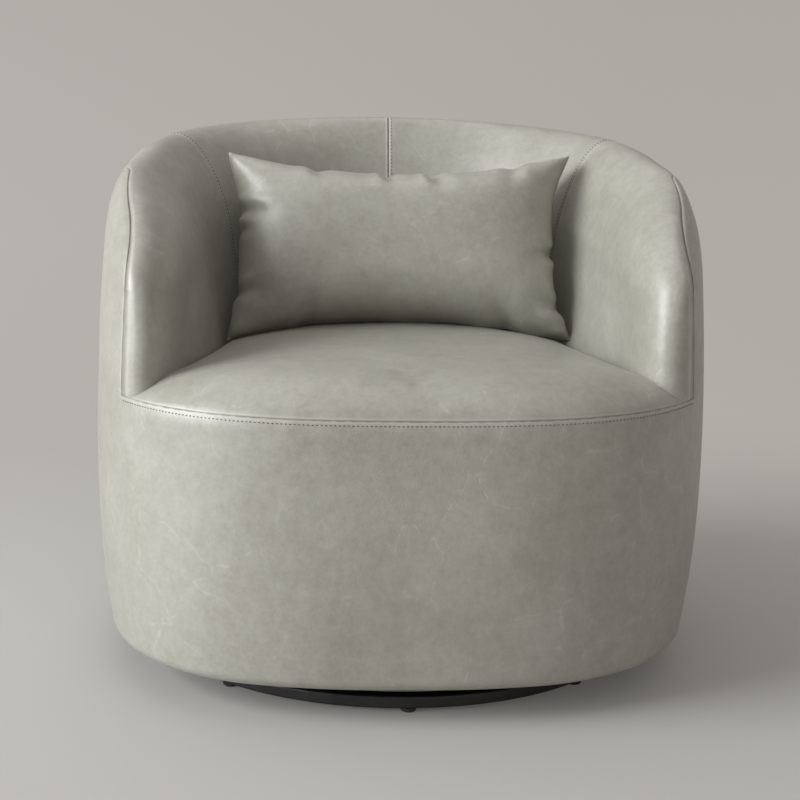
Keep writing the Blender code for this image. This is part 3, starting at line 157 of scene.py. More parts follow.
# near the chair the floor is lit and keeps the shadow, under a little painted glow that lifts it; further
# off, camera rays see painted colour
floor_paint, tree, shader = new_material("floor_paint")
fill(tree, shader, Base_Color=(0.50, 0.49, 0.47, 1), Roughness=0.9)
place = place_of(tree)
away = add_node(tree, "VectorMath", {"operation": "LENGTH"}, _0=place).outputs["Value"]
far = ramp(tree, away, 0.62, 1.75, interpolation_type="SMOOTHSTEP")
side = add_node(tree, "SeparateXYZ", Vector=place).outputs
# painted light: the backdrop colour is paler on the window's side (-x) and darker up the wall
backdrop_colour_painted_light = colour_mix(tree, ramp(tree, side["X"], -1.5, 1.5),
                         (0.475, 0.455, 0.430, 1), (0.425, 0.410, 0.375, 1))
backdrop_colour_painted_light = colour_mix(tree, ramp(tree, side["Z"], 0.0, 2.5), backdrop_colour_painted_light, (0.400, 0.382, 0.350, 1))
ray = add_node(tree, "LightPath").outputs
seen = figure(tree, "MAXIMUM", ray["Is Camera Ray"], ray["Is Glossy Ray"])
seen = figure(tree, "MAXIMUM", seen, ray["Is Transmission Ray"])
# painted glow seen by camera rays: a seventh of it near the chair, lifting the shadow, and all of it far
# off
painted_backdrop_share = figure(tree, "MULTIPLY", seen, figure(tree, "MULTIPLY_ADD", far, 0.86, 0.14))
painted_backdrop = add_node(tree, "Emission", Color=backdrop_colour_painted_light, Strength=1.0).outputs[0]
mixed = add_node(tree, "MixShader", _0=painted_backdrop_share, _1=shader.outputs[0], _2=painted_backdrop).outputs[0]
fill(tree, tree.nodes["Material Output"], Surface=mixed)
floor_data.materials.append(floor_paint)


# Leather. Smooth grey-green pull-up hide: a fine pebbled grain, clouded colour, pale hairline marks where
# the hide was creased, a painted highlight on the shoulders of the seams and painted shade down in them.


def new_group(name, inputs, outputs):
    """An empty node group with its named inputs (with values) and outputs."""
    tree = bpy.data.node_groups.new(name, "ShaderNodeTree")
    for label, value in inputs.items():
        kind = "NodeSocketColor" if isinstance(value, tuple) else "NodeSocketFloat"
        tree.interface.new_socket(label, in_out="INPUT", socket_type=kind).default_value = value
    for label, kind in outputs.items():
        tree.interface.new_socket(label, in_out="OUTPUT", socket_type="NodeSocket" + kind)
    return tree, tree.nodes.new("NodeGroupInput").outputs, tree.nodes.new("NodeGroupOutput")


def number_mix(tree, share, first, second):
    return add_node(tree, "Mix", _0=share, _2=first, _3=second).outputs[0]


def clouded(tree, place, scale, **inputs):
    return add_node(tree, "TexNoise", Vector=place, Scale=scale, **inputs).outputs["Fac"]


def relief(tree, height, strength, depth):
    return add_node(tree, "Bump", Height=height, Strength=strength, Distance=depth).outputs["Normal"]


hide, given, hide_out = new_group(
    "hide",
    {"Pale": (0.42, 0.41, 0.35, 1), "Deep": (0.30, 0.295, 0.245, 1)},
    {"Colour": "Color", "Roughness": "Float", "Height": "Float"},
)
place = place_of(hide)
clouds = clouded(hide, place, 5.5, Detail=5.0, Roughness=0.55, Distortion=0.4)
mottle = clouded(hide, place, 48.0, Detail=6.0, Roughness=0.62)
fine = clouded(hide, place, 150.0, Detail=4.0, Roughness=0.6)
pores = clouded(hide, place, 1500.0, Detail=2.0)
grain = add_node(hide, "TexVoronoi", {"feature": "SMOOTH_F1"}, Vector=place, Scale=620.0, Smoothness=0.6)
# painted light at the seams, kept per point on each piece: the seam number is painted shade down in the
# groove, the next one painted highlight on the shoulders beside it
seam = add_node(hide, "Attribute", {"attribute_name": "seam"}).outputs["Fac"]
seam_painted_highlight = add_node(hide, "Attribute", {"attribute_name": "seam_painted_highlight"}).outputs["Fac"]

# the hairline marks follow the edges of large bent cells, broken up into patches
wander = add_node(hide, "TexNoise", Vector=place, Scale=6.0, Detail=3.0).outputs["Color"]
bent = add_node(hide, "VectorMath", {"operation": "MULTIPLY_ADD"},
                _0=wander, _1=(0.16, 0.16, 0.16), _2=place)
cells = add_node(hide, "TexVoronoi", {"feature": "DISTANCE_TO_EDGE"}, Vector=bent.outputs[0], Scale=8.5)
marks = figure(hide, "MULTIPLY", ramp(hide, cells.outputs["Distance"], 0.0, 0.016, 1.0, 0.0),
               ramp(hide, mottle, 0.47, 0.56))
marks = figure(hide, "MULTIPLY", marks, ramp(hide, clouds, 0.42, 0.55))

tone = number_mix(hide, 0.45, ramp(hide, clouds, 0.3, 0.7), ramp(hide, mottle, 0.3, 0.7))
tone = number_mix(hide, 0.24, tone, ramp(hide, fine, 0.32, 0.68))
# paler share: painted highlight on the seam shoulders, plus the real hairline marks
painted_highlight_and_marks = figure(hide, "MULTIPLY_ADD", seam_painted_highlight, 0.30, figure(hide, "MULTIPLY", marks, 0.25))
colour = colour_mix(hide, tone, given["Deep"], given["Pale"])
colour = colour_mix(hide, painted_highlight_and_marks, colour, (0.60, 0.59, 0.54, 1))
# painted shade: darker down in the seams
colour = colour_mix(hide, figure(hide, "MULTIPLY", seam, 0.52), colour, (0.075, 0.070, 0.055, 1))
height = figure(hide, "MULTIPLY_ADD", pores, 0.35, grain.outputs["Distance"])
height = figure(hide, "MULTIPLY_ADD", marks, -0.9, height)
height = figure(hide, "MULTIPLY_ADD", mottle, 2.2, height)
fill(hide, hide_out, Colour=colour, Roughness=ramp(hide, tone, at_low=0.50, at_high=0.40), Height=height)

sage_leather, tree, shader = new_material("sage_leather")
skin = add_node(tree, "Group", {"node_tree": hide}, Pale=(0.420, 0.415, 0.370, 1),
                Deep=(0.256, 0.251, 0.209, 1)).outputs
fill(tree, shader, Base_Color=skin["Colour"], Roughness=skin["Roughness"], Specular_IOR_Level=0.5,
     Normal=relief(tree, skin["Height"], 0.35, 0.0004), Coat_Weight=0.60, Coat_Roughness=0.42,
     Sheen_Weight=0.05, Sheen_Roughness=0.5)


# Body covers. Six panels of leather over foam: a front band that runs round to the sides and up the outer
# arms, the outside back, two inside arms that wrap over the nose and top, and two halves of the inside
# back. They meet in pulled-in seams, and the hem is turned under and stapled.

BELLY_HALF_WIDTH, BELLY_Z, TAPER_ABOVE, TAPER_BELOW = 0.405, 0.27, 0.139, 0.357
SQUARENESS, DEPTH_SHARE = 2.7, 0.9736
NOSE_AZ, SIDE_AZ, INNER_AZ = math.radians(55.6), math.radians(98.0), math.radians(119.3)
SEAM_Z = 0.385
FOOT_Z = SEAM_Z - 0.012
BACK_RAIL_Z, RAIL_FALL, CORNER_DROP = 0.7036, 0.085, 0.1255
HEM_Z, HEM_ROUND, HEM_TURNED = 0.045, 0.018, 0.027
WALL_LEAN, INNER_RADIUS, INNER_SPLAY = 0.045, 0.2467, 0.147
NOSE_FORWARD, NOSE_INWARD, NOSE_FULL = 0.034, 0.017, 0.013
NOSE_FRONT_ROUND, NOSE_SIDE_ROUND = 0.030, 0.042
FULLER_NOSE = 1.3
# widths of the painted shade line down in the seams and of the painted highlight on their shoulders, and
# how far out that shoulder lies
SEAM_SHADE_WIDTH, SHOULDER_HIGHLIGHT_WIDTH, SHOULDER_OUT = 0.0009, 0.0012, 0.0024


def smooth_ramp(share):
    share = np.clip(share, 0, 1)
    return share * share * (3 - 2 * share)


def quarter_round(share):
    return np.sqrt(1 - (1 - np.clip(share, 0, 1)) ** 2)


def bell(distance, width, middle=0.0):
    """1 at a middle distance, falling off softly to both sides."""
    return np.exp(-(((distance - middle) / width) ** 2))


def barrel(az, z):
    """Radius of the softly squared barrel."""
    away = np.asarray(z) - BELLY_Z
    half_width = BELLY_HALF_WIDTH - np.where(away > 0, TAPER_ABOVE, TAPER_BELOW) * away**2
    across = (np.abs(np.sin(az)) / half_width) ** SQUARENESS
    along = (np.abs(np.cos(az)) / (half_width * DEPTH_SHARE)) ** SQUARENESS
    return (across + along) ** (-1 / SQUARENESS)


def rail_z(az):
    return BACK_RAIL_Z - RAIL_FALL * (1 + np.cos(az)) / 2


def nose_reach(az):
    return np.clip(1 - (np.abs(az) - NOSE_AZ) / (SIDE_AZ - NOSE_AZ), 0, 1)


def edge_z(az):
    return rail_z(az) - CORNER_DROP * (1 - np.sqrt(1 - nose_reach(az) ** 2))


def wall(az, z):
    """Outer and inner radius of the padded wall."""
    reach = nose_reach(az)
    rise = np.clip(1 - (rail_z(az) - z) / CORNER_DROP, 0, 1)
    depth = np.minimum(1, np.hypot(reach, rise))
    lean = WALL_LEAN * smooth_ramp((rise - 0.05) / 0.65) * (0.567 + 0.433 * smooth_ramp(1 - reach / 0.4))
    outer = barrel(az, z)
    outer_depth = np.maximum(0, 1 - (1 - depth) / 0.57)
    inner = INNER_RADIUS + INNER_SPLAY * (z - 0.40)
    edge = outer - lean
    outer_face = outer - lean * (1 - np.sqrt(1 - outer_depth**2))
    inner_face = edge - (edge - inner) * np.sqrt(1 - depth**2)
    return outer_face, inner_face


def around(az, radius, z):
    """Points at azimuths, radii and heights."""
    az, radius, z = np.broadcast_arrays(az, radius, z)
    return np.stack([radius * np.sin(az), -radius * np.cos(az), z], axis=-1)


def outer_line(az):
    """Fine line up the outer face at one azimuth, from the height of the seat seam to the wall's edge."""
    z = SEAM_Z + (edge_z(az) - SEAM_Z) * (1 - np.linspace(1, 0, 500) ** 2)
    return around(az, wall(az, z)[0], z)


def inner_line(az, foot):
    """Fine line from the wall's edge down its inner face to a foot height."""
    z = edge_z(az) - (edge_z(az) - foot) * np.linspace(0, 1, 500) ** 2
    return around(az, wall(az, z)[1], z)


def lengths_along(points):
    return np.concatenate([[0], np.cumsum(np.linalg.norm(np.diff(points, axis=0), axis=1))])


def along_line(points, shares):
    """Points at shares of a line's length."""
    lengths = lengths_along(points)
    reached = np.asarray(shares) * lengths[-1]
    return np.stack([np.interp(reached, lengths, points[:, k]) for k in range(3)], axis=1)


COVER_FALL, COVER_FALL_FROM, COVER_FALL_OVER = 0.154, 82.0, 18.0


def cover_seam_z(az):
    """Height of the seam over the arm: on the nose's edge, then lower behind."""
    turned = smooth_ramp((math.degrees(abs(az)) - COVER_FALL_FROM) / COVER_FALL_OVER)
    return SEAM_Z + (edge_z(az) - SEAM_Z) * (1 - COVER_FALL * turned)


def cut_at_cover_seam(az):
    """The outer face's line at one azimuth, below the seam over the arm and above it."""
    line = outer_line(az)
    number = int(np.searchsorted(line[:, 2], cover_seam_z(az) - 1e-9))
    return line[: number + 1], line[number:]


SEAM_STEP = 0.0009


def fine_ends(count, length, start=True, end=True):
    """Shares of a line of a given length, with extra steps of real size close to its sewn ends."""
    steps = list(np.linspace(0, 1, count + 1))
    cluster = np.array([0.8, 1.7, 2.8, 4.2, 6.0, 8.5]) * SEAM_STEP / length
    if start:
        steps = [s for s in steps if s == 0 or s > cluster[-1] * 1.25] + list(cluster)
    if end:
        steps = [s for s in steps if s == 1 or s < 1 - cluster[-1] * 1.25] + list(1 - cluster)
    return np.array(sorted(steps))


def quads(points):
    """A grid of points as a list of points and faces."""
    number = np.arange(points.shape[0] * points.shape[1]).reshape(points.shape[:2])
    faces = np.stack([number[:-1, :-1], number[1:, :-1], number[1:, 1:], number[:-1, 1:]], axis=-1)
    return points.reshape(-1, 3), faces.reshape(-1, 4)


def weld(*grids):
    """Grids joined where their points meet."""
    points, faces, first = [], [], 0
    for grid in grids:
        own_points, own_faces = quads(grid)
        points.append(own_points)
        faces.append(own_faces + first)
        first += len(own_points)
    points = np.concatenate(points)
    _, kept, which = np.unique(np.round(points, 6), axis=0, return_index=True, return_inverse=True)
    return points[kept], which.reshape(-1)[np.concatenate(faces)]


def low_grid(columns):
    """The barrel from the turned-under hem to the height of the seat seam."""
    start = barrel(columns, HEM_Z + HEM_ROUND)
    rows = [around(columns, start - HEM_ROUND - HEM_TURNED * (1 - k / 4), HEM_Z) for k in range(4)]
    for k in range(9):
        angle = k / 8 * math.pi / 2
        radius = start - HEM_ROUND * (1 - math.sin(angle))
        rows.append(around(columns, radius, HEM_Z + HEM_ROUND * (1 - math.cos(angle))))
    for share in fine_ends(58, SEAM_Z - HEM_Z, start=False)[1:]:
        z = HEM_Z + HEM_ROUND + (SEAM_Z - HEM_Z - HEM_ROUND) * share
        rows.append(around(columns, barrel(columns, z), z))
    return np.stack(rows, axis=1)


def high_grid(columns):
    """The outer face from the height of the seat seam to the seam over the arm."""
    rows = fine_ends(46, 0.22, start=False)
    return np.stack([along_line(cut_at_cover_seam(az)[0], rows) for az in columns])


def over_grid(columns):
    """From the seam over the arm, across the wall's edge and down its inner face."""
    rows = fine_ends(86, 0.36, end=False)
    lines = [np.concatenate([cut_at_cover_seam(az)[1], inner_line(az, FOOT_Z)[1:]]) for az in columns]
    return np.stack([along_line(line, rows) for line in lines])


side_steps = NOSE_AZ + (SIDE_AZ - NOSE_AZ) * fine_ends(46, 0.29)
front_steps = np.concatenate([-side_steps[::-1], np.linspace(-NOSE_AZ, NOSE_AZ, 136)[1:-1], side_steps])
back_steps = SIDE_AZ + (2 * math.pi - 2 * SIDE_AZ) * fine_ends(150, 1.08)
turns = np.concatenate([[0, 0.004, 0.009, 0.015, 0.022, 0.030, 0.040], np.linspace(0.052, math.pi / 2, 66)])
arm_steps = np.concatenate([
    NOSE_AZ + (SIDE_AZ - NOSE_AZ) * (1 - np.cos(turns)),
    SIDE_AZ + (INNER_AZ - SIDE_AZ) * fine_ends(22, 0.13, start=False)[1:],
])
half_back_steps = INNER_AZ + (math.pi - INNER_AZ) * fine_ends(60, 0.38)
panels = {
    "front_band": weld(low_grid(front_steps), high_grid(side_steps), high_grid(-side_steps[::-1])),
    "outside_back": weld(low_grid(back_steps), high_grid(back_steps)),
    "inside_arm_left": weld(over_grid(arm_steps)),
    "inside_arm_right": weld(over_grid(-arm_steps[::-1])),
    "inside_back_left": weld(over_grid(half_back_steps)),
    "inside_back_right": weld(over_grid(-half_back_steps[::-1])),
}


def crossed_sides(points, faces):
    """A vector across each quad, twice its area long."""
    return np.cross(points[faces[:, 2]] - points[faces[:, 0]], points[faces[:, 3]] - points[faces[:, 1]])


def point_normals(points, faces):
    """Outward direction at each point of a set of quads."""
    crossed = crossed_sides(points, faces)
    total = np.zeros_like(points)
    for corner in range(4):
        np.add.at(total, faces[:, corner], crossed)
    return total / np.maximum(np.linalg.norm(total, axis=1), 1e-15)[:, None]


def open_edge(faces):
    """Numbers of the points on the free edges of a set of quads."""
    sides = np.concatenate([faces[:, [k, (k + 1) % 4]] for k in range(4)])
    sides.sort(axis=1)
    pairs, counts = np.unique(sides, axis=0, return_counts=True)
    return np.unique(pairs[counts == 1])


def nearest(points, targets):
    """Distance from each point to the nearest target, and which one that is."""
    tree = KDTree(len(targets))
    for number, target in enumerate(targets):
        tree.insert(target, number)
    tree.balance()
    found = [tree.find(point) for point in points]
    return np.array([f[2] for f in found]), np.array([f[1] for f in found])


def mesh_object(name, points, faces, material):
    data = bpy.data.meshes.new(name)
    data.from_pydata(np.array(points).tolist(), [], [list(map(int, face)) for face in faces])
    data.update()
    data.shade_smooth()
    data.materials.append(material)
    thing = bpy.data.objects.new(name, data)
    bpy.context.scene.collection.objects.link(thing)
    return thing


def paint(thing, name, values):
    """Keep one number per point on a mesh, for its material."""
    layer = thing.data.attributes.new(name, "FLOAT", "POINT")
    layer.data.foreach_set("value", np.asarray(values, dtype=np.float32))


def ripple(points, scale):
    return np.array([noise.noise(Vector(p) * scale) for p in points])


def turn_and_radius(points):
    return np.arctan2(points[:, 0], -points[:, 1]), np.hypot(points[:, 0], points[:, 1])


def seat_side_z(az):
    """Height of the seat where it meets the wall: from the front seam up to where the arm's nose ends."""
    turned = np.arccos(np.clip(1 - (np.abs(az) - NOSE_AZ) / (SIDE_AZ - NOSE_AZ), 0, 1)) / (math.pi / 2) * 7
    rise = 0.016 * np.sin(np.minimum(1, turned / 1.3) * math.pi / 2)
    return SEAM_Z + rise + 0.007 * smooth_ramp((np.abs(az) - SIDE_AZ) / (INNER_AZ - SIDE_AZ))


def edge_directions(sheets):
    """For each sheet, its sewn edge points and the way they face, shared with what they are sewn to."""
    edges = {}
    for name, (points, faces) in sheets.items():
        numbers = open_edge(faces)
        place = points[numbers]
        az, radius = turn_and_radius(place)
        az = np.abs(az)
        if name == "seat_cushion":
            sewn = (az < NOSE_AZ + 0.004) & (place[:, 2] < SEAM_Z + 0.0005)
        elif name.startswith("inside"):
            sewn = place[:, 2] > FOOT_Z + 0.0005
            sewn &= (place[:, 2] > SEAM_Z - 0.0005) | (az > NOSE_AZ + 0.004)
        else:
            under_edge = barrel(az, HEM_Z + HEM_ROUND) - HEM_ROUND
            sewn = (place[:, 2] > HEM_Z + 0.0005) | (radius > under_edge + 0.001)
        edges[name] = (numbers[sewn], place[sewn], point_normals(points, faces)[numbers[sewn]])
    shared = {}
    for name, (numbers, place, facing) in edges.items():
        total = facing.copy()
        for other, (_, other_place, other_facing) in edges.items():
            if other == name or not len(other_place):
                continue
            distance, which = nearest(place, other_place)
            close = distance < 0.003
            total[close] += other_facing[which[close]]
        shared[name] = (numbers, place, total / np.linalg.norm(total, axis=1)[:, None])
    return shared


ROLL_ENDS, ROLL_ENDS_OVER = 86.0, 30.0
ROLL_REACH, ROLL_REACH_OVER = 0.035, 0.12
ROLL_TOP, ROLL_TOP_OVER = 0.43, 0.20


def rolled_nose(points, distance, az, size):
    """An arm nose's roll forward and inward beside its seam, within the barrel, and its swell above."""
    share = smooth_ramp((ROLL_ENDS - np.degrees(az)) / ROLL_ENDS_OVER) * (az < SIDE_AZ)
    share = share * (1 - smooth_ramp((distance - ROLL_REACH) / ROLL_REACH_OVER))
    low = 1 - smooth_ramp((points[:, 2] - ROLL_TOP) / ROLL_TOP_OVER)
    swell = NOSE_FULL * share * (1 - low) * quarter_round(distance / NOSE_SIDE_ROUND)
    roll = np.zeros_like(points)
    front_round = quarter_round(distance / (NOSE_FRONT_ROUND * size))
    side_round = quarter_round(distance / (NOSE_SIDE_ROUND * size))
    roll[:, 1] = -NOSE_FORWARD * size * share * low * front_round
    roll[:, 0] = -NOSE_INWARD * size * np.sign(points[:, 0]) * share * low * side_round
    turned, radius = turn_and_radius(points + roll)
    below_seam = 1 - smooth_ramp((points[:, 2] - SEAM_Z + 0.0015) / 0.003)
    kept = np.minimum(1, (barrel(turned, points[:, 2]) - 0.003 * below_seam) / radius)
    roll[:, :2] = (points + roll)[:, :2] * kept[:, None] - points[:, :2]
    return roll, swell


def settle(name, points, faces, sewn_place, sewn_facing):
    """A sheet pulled in at its seams and a little uneven, and each point's distance from a seam."""
    own = point_normals(points, faces)
    distance, which = nearest(points, sewn_place)
    az = np.abs(turn_and_radius(sewn_place)[0])[which]
    swell = 0.0006 * (1 - np.exp(-distance / 0.004)) * np.exp(-distance / 0.012)
    roll = 0.0
    if name.startswith("inside_arm"):
        roll, nose_swell = rolled_nose(points, distance, az, 1.0 if name.endswith("right") else FULLER_NOSE)
        swell = swell + nose_swell + 0.0007 * (az > SIDE_AZ + 0.1) * bell(distance, 0.0014, SHOULDER_OUT)
    if name == "inside_back_right":
        swell = swell + 0.0007 * (az > INNER_AZ + 0.5) * bell(distance, 0.0014, SHOULDER_OUT)
    pull = 0.0007 * bell(distance, 0.0010) + 0.0003 * bell(distance, 0.0045)
    if name in ("front_band", "seat_cushion"):
        front = (np.abs(sewn_place[which, 2] - SEAM_Z) < 0.001) * smooth_ramp((NOSE_AZ - az) / 0.10)
        pull = pull + 0.0026 * front * bell(distance, 0.009)
    shared = bell(distance, 0.009)[:, None]
    facing = own * (1 - shared) + sewn_facing[which] * shared
    facing /= np.maximum(np.linalg.norm(facing, axis=1), 1e-9)[:, None]
    soft = 0.0011 * ripple(points, 9.0) * (1 - np.exp(-distance / 0.03))
    tight = 0.0010 * ripple(points, 34.0) * np.exp(-distance / 0.018) * (1 - np.exp(-distance / 0.006))
    return points + roll + own * (swell + soft + tight)[:, None] - facing * pull[:, None], distance


# the seat's top leather takes part in the seams, so its sheet is laid out here: across between the arms
# (u), and along to the back (v)
SEAT_WIDTH, SEAT_DEPTH, FRONT_ROLL_DEPTH = 0.66, 0.62, 0.13
FRONT_CROWN, MIDDLE_CROWN = 0.026, 0.012

back_az, back_z = INNER_AZ + (math.pi - INNER_AZ) / 7, seat_side_z(math.pi)
across, along = fine_ends(88, SEAT_WIDTH), fine_ends(76, SEAT_DEPTH, end=False)
front_line = around(-NOSE_AZ + 2 * NOSE_AZ * across, barrel(NOSE_AZ * (2 * across - 1), SEAM_Z), SEAM_Z)
back_turn = (2 * math.pi - back_az) - 2 * (math.pi - back_az) * across
back_line = around(back_turn, wall(2 * math.pi - back_turn, back_z)[1] + 0.001, back_z)
side_turn = NOSE_AZ + (back_az - NOSE_AZ) * np.linspace(0, 1, 500) ** 1.8
side_z = seat_side_z(side_turn)
side_line = along_line(around(side_turn, wall(side_turn, side_z)[1] + 0.001, side_z), along)
u, v = across[:, None, None], along[None, :, None]
seat_sheet = front_line[:, None] * (1 - v) + back_line[:, None] * v
seat_sheet = seat_sheet + (side_line * (-1, 1, 1))[None] * (1 - u) + side_line[None] * u
for end, share in ((0, 1 - v), (-1, v)):
    seat_sheet = seat_sheet - share * ((side_line[end] * (-1, 1, 1)) * (1 - u) + side_line[end] * u)
off_centre = np.abs(2 * across - 1)[:, None]
front_roll = np.minimum(1, along[None] * SEAT_DEPTH / FRONT_ROLL_DEPTH)
fade = (1 - off_centre**4) * (1 - along[None] ** 3)
rounded = 0.3 * np.sqrt(1 - (1 - front_roll) ** 2) + 0.7 * np.sin(front_roll * math.pi / 2)
seat_sheet[:, :, 2] += FRONT_CROWN * fade * rounded
seat_sheet[:, :, 2] += MIDDLE_CROWN * (1 - off_centre**2) * np.sin(math.pi * along[None])
sheets = dict(panels, seat_cushion=weld(seat_sheet))
seams = edge_directions(sheets)

stands_for = {
    "front_band": ("front_band_cover", "band_foam"),
    "outside_back": ("outside_back_cover",),
    "inside_arm_left": ("inside_arm_left_cover", "arm_foam_left"),
    "inside_arm_right": ("inside_arm_right_cover", "arm_foam_right"),
    "inside_back_left": ("inside_back_left_cover", "back_foam"),
    "inside_back_right": ("inside_back_right_cover",),
}
body = {}
for name, nodes in stands_for.items():
    points, faces = panels[name]
    _, sewn_place, sewn_facing = seams[name]
    points, distance = settle(name, points, faces, sewn_place, sewn_facing)
    body[name] = mesh_object(name, points, faces, sage_leather)
    # painted shade in a thin line down each seam, and painted highlight on its shoulders, stronger on the
    # inner faces of the inside arms and the right inside back
    paint(body[name], "seam", bell(distance, SEAM_SHADE_WIDTH))
    inner_side = np.abs(turn_and_radius(points)[0]) > SIDE_AZ + 0.12
    inner_highlight_gain = 2.2 if name.startswith("inside_arm") or name == "inside_back_right" else 1.0
    seam_highlight_gain = np.where(inner_side, inner_highlight_gain, 1.0)
    paint(body[name], "seam_painted_highlight", seam_highlight_gain * bell(distance, SHOULDER_HIGHLIGHT_WIDTH, SHOULDER_OUT))
    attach(body[name], "chair")
    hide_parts(*nodes)


# Seat. A crowned block of foam under one leather panel, sewn to the band along its rolled front edge and
# tucked down between the arms and the back.

def blown_up(points, faces, held, pressure, cap, frames, stiffness):
    """The shape that a leather sheet takes when its filling presses from inside and its edge is held."""
    pad = mesh_object("pad_being_filled", points, faces, sage_leather)
    pad.vertex_groups.new(name="held").add([int(number) for number in held], 1.0, "REPLACE")
    cloth = pad.modifiers.new("filling", "CLOTH")
    cloth.settings.quality = 6
    cloth.settings.mass = 0.5
    cloth.settings.tension_stiffness = cloth.settings.compression_stiffness = stiffness
    cloth.settings.shear_stiffness = stiffness / 3
    cloth.settings.bending_stiffness = 2.0
    cloth.settings.use_pressure = True
    cloth.settings.uniform_pressure_force = pressure
    cloth.settings.effector_weights.gravity = 0
    cloth.settings.vertex_group_mass = "held"
    cloth.collision_settings.use_collision = False
    cloth.point_cache.frame_end = frames
    for frame_number in range(1, frames + 1):
        bpy.context.scene.frame_set(frame_number)
    filled = pad.evaluated_get(bpy.context.evaluated_depsgraph_get())
    moved = np.empty(len(points) * 3, dtype=np.float32)
    filled.data.vertices.foreach_get("co", moved)
    bpy.context.scene.frame_set(1)
    bpy.data.objects.remove(pad)
    step = moved.reshape(-1, 3).astype(float) - points
    length = np.linalg.norm(step, axis=1)
    return points + step * np.minimum(1, cap / np.maximum(length, 1e-9))[:, None]


seat_points, seat_faces = sheets["seat_cushion"]
sewn_numbers, sewn_place, sewn_facing = seams["seat_cushion"]
seat_edge = open_edge(seat_faces)
tucked = seat_points[np.setdiff1d(seat_edge, sewn_numbers)]
seat_points = blown_up(seat_points, seat_faces, seat_edge, 0.6, 0.006, 16, 40)
seat_points, from_front = settle("seat_cushion", seat_points, seat_faces, sewn_place, sewn_facing)
from_side, _ = nearest(seat_points, tucked)
tuck = 0.008 * bell(from_side, 0.010) * (1 - bell(from_front, 0.02))
seat_points = seat_points - point_normals(seat_points, seat_faces) * tuck[:, None]
seat = mesh_object("seat_cushion", seat_points, seat_faces, sage_leather)
# painted shade in the front seam and, broader, where the seat tucks down beside the arms and back; painted
# highlight on the front seam's shoulder
paint(seat, "seam", bell(from_front, SEAM_SHADE_WIDTH) + 0.8 * bell(from_side, 0.004))
paint(seat, "seam_painted_highlight", bell(from_front, SHOULDER_HIGHLIGHT_WIDTH, 0.0026))
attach(seat, "chair")
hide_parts("seat_cover", "seat_foam")


# Lumbar pillow. A loose knife-edged leather case, fuller in the middle, leaning against the back: its
# sides draw in between soft pointed corners and pucker where the fill pulls at the sewn edge.

HALF_WIDTH, HALF_HEIGHT, HALF_THICK = 0.240, 0.1285, 0.075
SIDE_DRAW, TOP_DRAW, FOOT_DRAW = 0.020, 0.028, 0.022
CORNER_POWER, FULLNESS = 10, 0.50
RIM_GROOVE = 0.0052
lean_back = np.array(Matrix.Rotation(-math.radians(20.0), 3, "X"))


def case_point(s, t, side):
    """Point of the flat case at -1 to 1 across and up, on its front (-1) or back (1), before it leans."""
    half_width = HALF_WIDTH - SIDE_DRAW * (1 - t**4)
    half_height = HALF_HEIGHT - np.where(t > 0, TOP_DRAW, FOOT_DRAW) * (1 - s * s)
    corner = (np.abs(s) ** CORNER_POWER + np.abs(t) ** CORNER_POWER + 1e-12) ** (-1 / CORNER_POWER)
    corner = np.where((np.abs(s) > 0.5) & (np.abs(t) > 0.5), np.minimum(1, corner), 1.0)
    full = np.clip((1 - s**4) * (1 - t**4), 0, 1) ** FULLNESS
    ear = np.abs(s * t) ** 4
    ear_out = np.where(s > 0, 0.022 + 0.002 * np.sign(t), -0.012) * ear
    ear_down = np.where(t < 0, np.where(s > 0, 0.0124, 0.0164), np.where(s > 0, -0.0150, -0.0127)) * ear
    x, z = half_width * s * corner + ear_out, half_height * t * corner - ear_down
    return np.stack([x, side * HALF_THICK * full, z], axis=-1)


s_steps, t_steps = 2 * fine_ends(92, 2 * HALF_WIDTH) - 1, 2 * fine_ends(50, 2 * HALF_HEIGHT) - 1
case_s, case_t = np.meshgrid(s_steps, t_steps, indexing="ij")
pillow_points, pillow_faces = weld(case_point(case_s, case_t, -1.0), case_point(case_s, case_t, 1.0)[::-1])
rim = np.nonzero(np.abs(pillow_points[:, 1]) < 1e-9)[0]
pillow_points = blown_up(pillow_points * (1.0, 0.86, 1.0), pillow_faces, rim, 1.5, 0.020, 20, 25)
reached = np.abs(pillow_points[:, 1]).max()
pillow_points[:, 1] *= HALF_THICK / max(reached, HALF_THICK * 0.9)

# puckers, short valleys that run in from the sewn edge: place on the rim, way in, length, width, depth
from_rim, _ = nearest(pillow_points, pillow_points[rim])
front_side = pillow_points[:, 1] < 1e-9
folds = [
    ((-0.216, 0.046), (1.0, -0.55), 0.032, 0.0085, 0.0085),
    ((-0.216, 0.018), (1.0, -0.20), 0.016, 0.008, 0.0050),
    ((-0.219, -0.070), (1.0, -0.25), 0.030, 0.010, 0.0060),
    ((-0.115, 0.108), (0.45, -1.0), 0.026, 0.011, 0.0050),
    ((-0.018, 0.101), (0.55, -1.0), 0.022, 0.009, 0.0065),
    ((0.047, 0.101), (0.50, -1.0), 0.026, 0.0095, 0.0085),
    ((0.165, 0.113), (-0.35, -1.0), 0.030, 0.012, 0.0050),
    ((0.216, -0.012), (-1.0, -0.35), 0.028, 0.009, 0.0085),
    ((0.222, -0.088), (-1.0, 0.10), 0.030, 0.010, 0.0065),
    ((0.150, -0.112), (-0.30, 1.0), 0.040, 0.016, 0.0050),
    ((-0.120, -0.110), (0.25, 1.0), 0.040, 0.016, 0.0040),
]
dent = np.zeros(len(pillow_points))
pinch = np.zeros((len(pillow_points), 2))
flat_place = pillow_points[:, [0, 2]]
